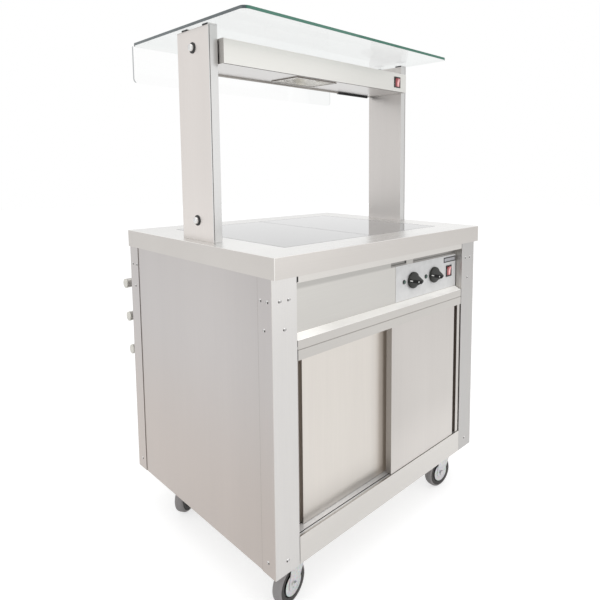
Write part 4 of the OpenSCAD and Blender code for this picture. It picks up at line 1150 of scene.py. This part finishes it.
# Small blank plate with a dark rim
signShape = {"middle": (316.5, 795.5), "size": (68, 17), "rim": 3.6, "face": -334.8}
signGrey = mouldedPlastic("sign plate", shown(186, 186, 190), 0.45, 600.0, 0.05)


def makeSign(s):
    x, z = s["middle"]
    wide, tall = s["size"]
    bm = bmesh.new()
    block(bm, (0, 0, 0.3), (wide, tall, 0.6), 0.2)
    bmesh.ops.transform(bm, matrix=outFrom(x, s["face"], z), verts=bm.verts)
    piece("sign_rim", bm, "cabinet", [blackPlastic])
    bm = bmesh.new()
    block(bm, (0, 0, 0.6), (wide - 2 * s["rim"], tall - 2 * s["rim"], 0.5), 0.15)
    bmesh.ops.transform(bm, matrix=outFrom(x, s["face"], z), verts=bm.verts)
    piece("sign_face", bm, "cabinet", [signGrey])


makeSign(signShape)
print("blank plate made")

# Castor wheels: rounded tread, side ring, hub. An outline is one half and the same turned over.
# The ring's stays open towards the hub, which covers the opening.
wheelShape = {
    "keys": ("fl", "fr", "rl", "rr"),
    "forkSoft": 0.0006,
    "tread": [(43.5, -14), (46, -13.7), (48.4, -11.6), (49.7, -8.4), (50, -4)],
    "ring": [(31.5, -8), (31.5, -11.5), (33, -13.4), (41.5, -13.8), (43.4, -13.2)],
    "hub": [(5.06, -14), (12.5, -14), (13.2, -13.2), (13.2, -8), (31.6, -8)],
    "closed": ("tread", "hub"),
    "looks": {
        "tread": (greyTread, "grey_rubber"),
        "ring": (sideRubber, "black_rubber"),
        "hub": (blackPlastic, "black_plastic"),
    },
}


def makeWheel(key, s):
    node = "castor_%s_wheel" % key
    low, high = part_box(node)
    axis = Vector(next(j["axis"] for j in frame["joints"] if j["name"] == "castor_%s_roll" % key))
    place = Matrix.Translation((low + high) / 2) @ axis.to_track_quat("Z", "X").to_matrix().to_4x4()
    for part, (finish, slotName) in s["looks"].items():
        half = s[part]
        outline = half + [(r, -h) for r, h in reversed(half)] + half[:1] * (part in s["closed"])
        bm = bmesh.new()
        spun(bm, [(r / 1000, h / 1000) for r, h in outline], 72)
        bmesh.ops.transform(bm, matrix=place, verts=bm.verts)
        made = piece("%s_%s" % (node, part), bm, "castor_%s_roller" % key, [finish], 35)
        if part == "tread":
            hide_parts(node)


for key in wheelShape["keys"]:
    makeWheel(key, wheelShape)
    softened("castor_%s_fork" % key, wheelShape["forkSoft"], zinc, turn=40, smooth=35)
print("castors made")

# Lamp: quartz tube, coil, ceramic ends and spring clips
lampShape = {
    "from": -86,
    "to": 32,
    "y": -12,
    "z": 1381,
    "radius": 5.5,
    "tip": (1, 4),  # how far the tube's end narrows, and over what length
    "coil": {"radius": 1.5, "wire": 0.6, "turns": 34, "steps": 12, "start": 6},
    "ends": (-94.5, 40.5),
    "holder": [(0, (18.6, 20, 18), 1.2), (12.2, (9, 12, 8), 0.8)],
    "clips": (-81, 21, -52, -6),
    "clip": [(5.6, 0), (8.8, 0), (9.4, 0.8), (9.4, 5.2), (8.8, 6), (5.6, 6), (5.6, 0)],
}
quartz = Finish("quartz tube", {"Roughness": 0.08, "Transmission Weight": 0.6, "IOR": 1.46})
quartz.give("Base Color", quartz.mix(quartz.noise(60.0), (0.90, 0.88, 0.84), (0.96, 0.95, 0.93)))
tungsten = mouldedPlastic("tungsten coil", (0.34, 0.24, 0.14), 0.45, 900.0, 0.1)


def makeLamp(s):
    length = (s["to"] - s["from"]) / 1000
    alongX = Matrix.Rotation(math.radians(90), 4, "Y")
    turned = Matrix.Translation(spot(s["from"], s["y"], s["z"])) @ alongX
    r = s["radius"] / 1000
    short, long = (v / 1000 for v in s["tip"])
    bm = bmesh.new()
    half = [(0, 0), (r * 0.7, short), (r, long)]
    spun(bm, half + [(r, length - long), (r * 0.7, length - short), (0, length)], 32)
    bmesh.ops.transform(bm, matrix=turned, verts=bm.verts)
    piece("lamp_tube", bm, "cabinet", [quartz.material], 40)

    c = s["coil"]
    start = c["start"] / 1000
    bm = bmesh.new()
    ring = bmesh.ops.create_circle(bm, cap_ends=True, segments=8, radius=c["wire"] / 1000)["verts"]
    upright = Matrix.Rotation(math.radians(90), 3, "X")
    bmesh.ops.rotate(bm, verts=ring, cent=(0, 0, 0), matrix=upright)
    bmesh.ops.translate(bm, verts=ring, vec=(c["radius"] / 1000, 0, start))
    steps = c["turns"] * c["steps"]
    bmesh.ops.spin(
        bm,
        geom=list(bm.faces) + list(bm.edges) + list(bm.verts),
        cent=(0, 0, 0),
        axis=(0, 0, 1),
        dvec=(0, 0, (length - 2 * start) / steps),
        angle=math.tau * c["turns"],
        steps=steps,
    )
    bmesh.ops.recalc_face_normals(bm, faces=bm.faces)
    bmesh.ops.transform(bm, matrix=turned, verts=bm.verts)
    piece("lamp_coil", bm, "cabinet", [tungsten], 60)

    bm = bmesh.new()
    for x in s["ends"]:
        for height, size, edge in s["holder"]:
            block(bm, (x, 0, height), size, edge)
    bmesh.ops.translate(bm, verts=bm.verts, vec=spot(0, s["y"], s["z"]))
    ends = piece("lamp_holders", bm, "cabinet", [ivory], 40)
    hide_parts("heat_lamp")

    bm = bmesh.new()
    for x in s["clips"]:
        ring = spun(bm, [(radius / 1000, h / 1000) for radius, h in s["clip"]], 32)
        bmesh.ops.transform(bm, matrix=Matrix.Translation((x / 1000, 0, 0)) @ alongX, verts=ring)
    bmesh.ops.translate(bm, verts=bm.verts, vec=spot(0, s["y"], s["z"]))
    piece("lamp_clips", bm, "cabinet", [brownSteel], 40)


makeLamp(lampShape)
print("lamp made")

# The gantry's bolts: a domed button on a dark ring, over the feet inside the posts. The dark ring is
# painted shade under the button.
boltShape = {
    "post": postOuter,
    "proud": 0.1,
    "heights": (954.6, 1408.2),
    "shadeCollar": [(8, -0.3), (14.0, -0.3), (14.4, 0.2), (14.4, 1.3), (13.9, 1.8), (8, 1.8), (8, -0.3)],
    "button": [
        (0, 10.4), (4.5, 10.2), (7.4, 9.4), (8.9, 8.0), (9.5, 6.0), (9.7, 3.4), (9.7, 0), (0, 0),
    ],
}


def makeBolts(s):
    source = frame["nodes"]["post_fixings"]
    bm = bmesh.new()
    bm.from_mesh(source.data)
    bmesh.ops.remove_doubles(bm, verts=bm.verts, dist=1e-6)
    for side in (-1, 1):
        bmesh.ops.bisect_plane(
            bm,
            geom=bm.verts[:] + bm.edges[:] + bm.faces[:],
            plane_co=(side * (s["post"] + s["proud"]) / 1000, 0, 0),
            plane_no=(side, 0, 0),
            clear_outer=True,
        )
        bmesh.ops.holes_fill(bm, edges=[e for e in bm.edges if e.is_boundary])
    joinFlat(bm)
    feet = piece("post_feet", bm, "cabinet", [boltSteel], 35)
    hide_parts("post_fixings")
    for part, finish in (("shadeCollar", blackRubberAndShade), ("button", buttonSteel)):
        bm = bmesh.new()
        for side in (-1, 1):
            for z in s["heights"]:
                made = spun(bm, [(r / 1000, h / 1000) for r, h in s[part]], 48)
                turned = Matrix.Rotation(math.radians(90 * side), 4, "Y")
                place = Matrix.Translation(spot(side * s["post"], 0, z)) @ turned
                bmesh.ops.transform(bm, matrix=place, verts=made)
        piece("bolt_%ss" % part, bm, "cabinet", [finish], 35)


makeBolts(boltShape)
print("bolts made")

# Bead of sealant round the hot panels
beadShape = {"halfX": 321, "halfY": 273, "width": 2.2, "top": 900.1, "depth": 3.0, "round": 0.5}
sealant = mouldedPlastic("sealant", (0.13, 0.13, 0.132), 0.5, 500.0, 0.1)


def makeBead(s):
    w, deep, edge = s["width"], s["depth"], s["round"]
    bm = bmesh.new()
    for side in (-1, 1):
        block(bm, (side * (s["halfX"] - w / 2), 0, 0), (w, 2 * s["halfY"], deep), edge)
        block(bm, (0, side * (s["halfY"] - w / 2), 0), (2 * s["halfX"], w, deep), edge)
    block(bm, (0, 0, 0), (w, 2 * s["halfY"] - w, deep), edge)
    bmesh.ops.translate(bm, verts=bm.verts, vec=spot(0, 0, s["top"] - deep / 2))
    piece("sealant_bead", bm, "cabinet", [sealant])


makeBead(beadShape)
print("sealant made")

# Clear glass: a faint veil and mirror on its faces, green or grey in its cut edges.
# The shares of "edge" are for the edges that face the front, left, right and rear.
glassShape = {
    "glass_top": {
        "soft": 0.0003,
        "thin": "Z",
        "veil": 0.075,
        "mirror": 0.14,
        "edge": (0.97, 0.95, 0.10, 0.08),
    },
    "glass_back": {
        "soft": 0.0003,
        "thin": "Y",
        "veil": 0.008,
        "mirror": 0.10,
        "edge": (0.12, 0.62, 0.14, 0.12),
    },
}
glassTones = {
    "clear": ((0.49, 0.55, 0.53), (0.53, 0.59, 0.57)),
    "teal": (shown(34, 104, 84), shown(50, 122, 102)),
    "grey": (shown(62, 74, 78), shown(84, 96, 100)),
}


def clearGlass(name, s):
    f = Finish(name, {"Roughness": 0.02})
    geometry = f.add("ShaderNodeNewGeometry", {}, {}, "Normal")
    outward = 1 - Wire(f, geometry.socket.node.outputs["Backfacing"]) * 2.0
    parts = f.add("ShaderNodeSeparateXYZ", {}, [geometry]).socket.node.outputs
    cut = 1 - abs(Wire(f, parts[s["thin"]])).fade(0.75, 0.97)
    acrossX, alongY = Wire(f, parts[0]) * outward, Wire(f, parts[1]) * outward
    sides = [way.fade(0.4, 0.7) for way in (0 - alongY, 0 - acrossX, acrossX, alongY)]
    glance = f.add("ShaderNodeFresnel", {}, {"IOR": 1.5})
    streak = f.noise(6.0, 2.0)
    clear, teal, grey = (f.mix(streak, *glassTones[tone]) for tone in ("clear", "teal", "grey"))
    f.give("Base Color", f.mix(cut, clear, f.mix(sides[1], teal, grey)))
    f.give("Metallic", 1 - cut * 0.9)
    strength = sum((side * share for side, share in zip(sides, s["edge"])), 0)
    f.give("Alpha", cut * strength.least(1.0) + (1 - cut) * (glance * s["mirror"] + s["veil"]))
    return f.material


for node, shape in glassShape.items():
    softened(node, shape["soft"], clearGlass(node + " float", shape))
print("glass made")

low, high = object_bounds()
{"cad": [list(cadBox[0]), list(cadBox[1])], "visual": [list(low), list(high)]}.__repr__().replace("'", '"')
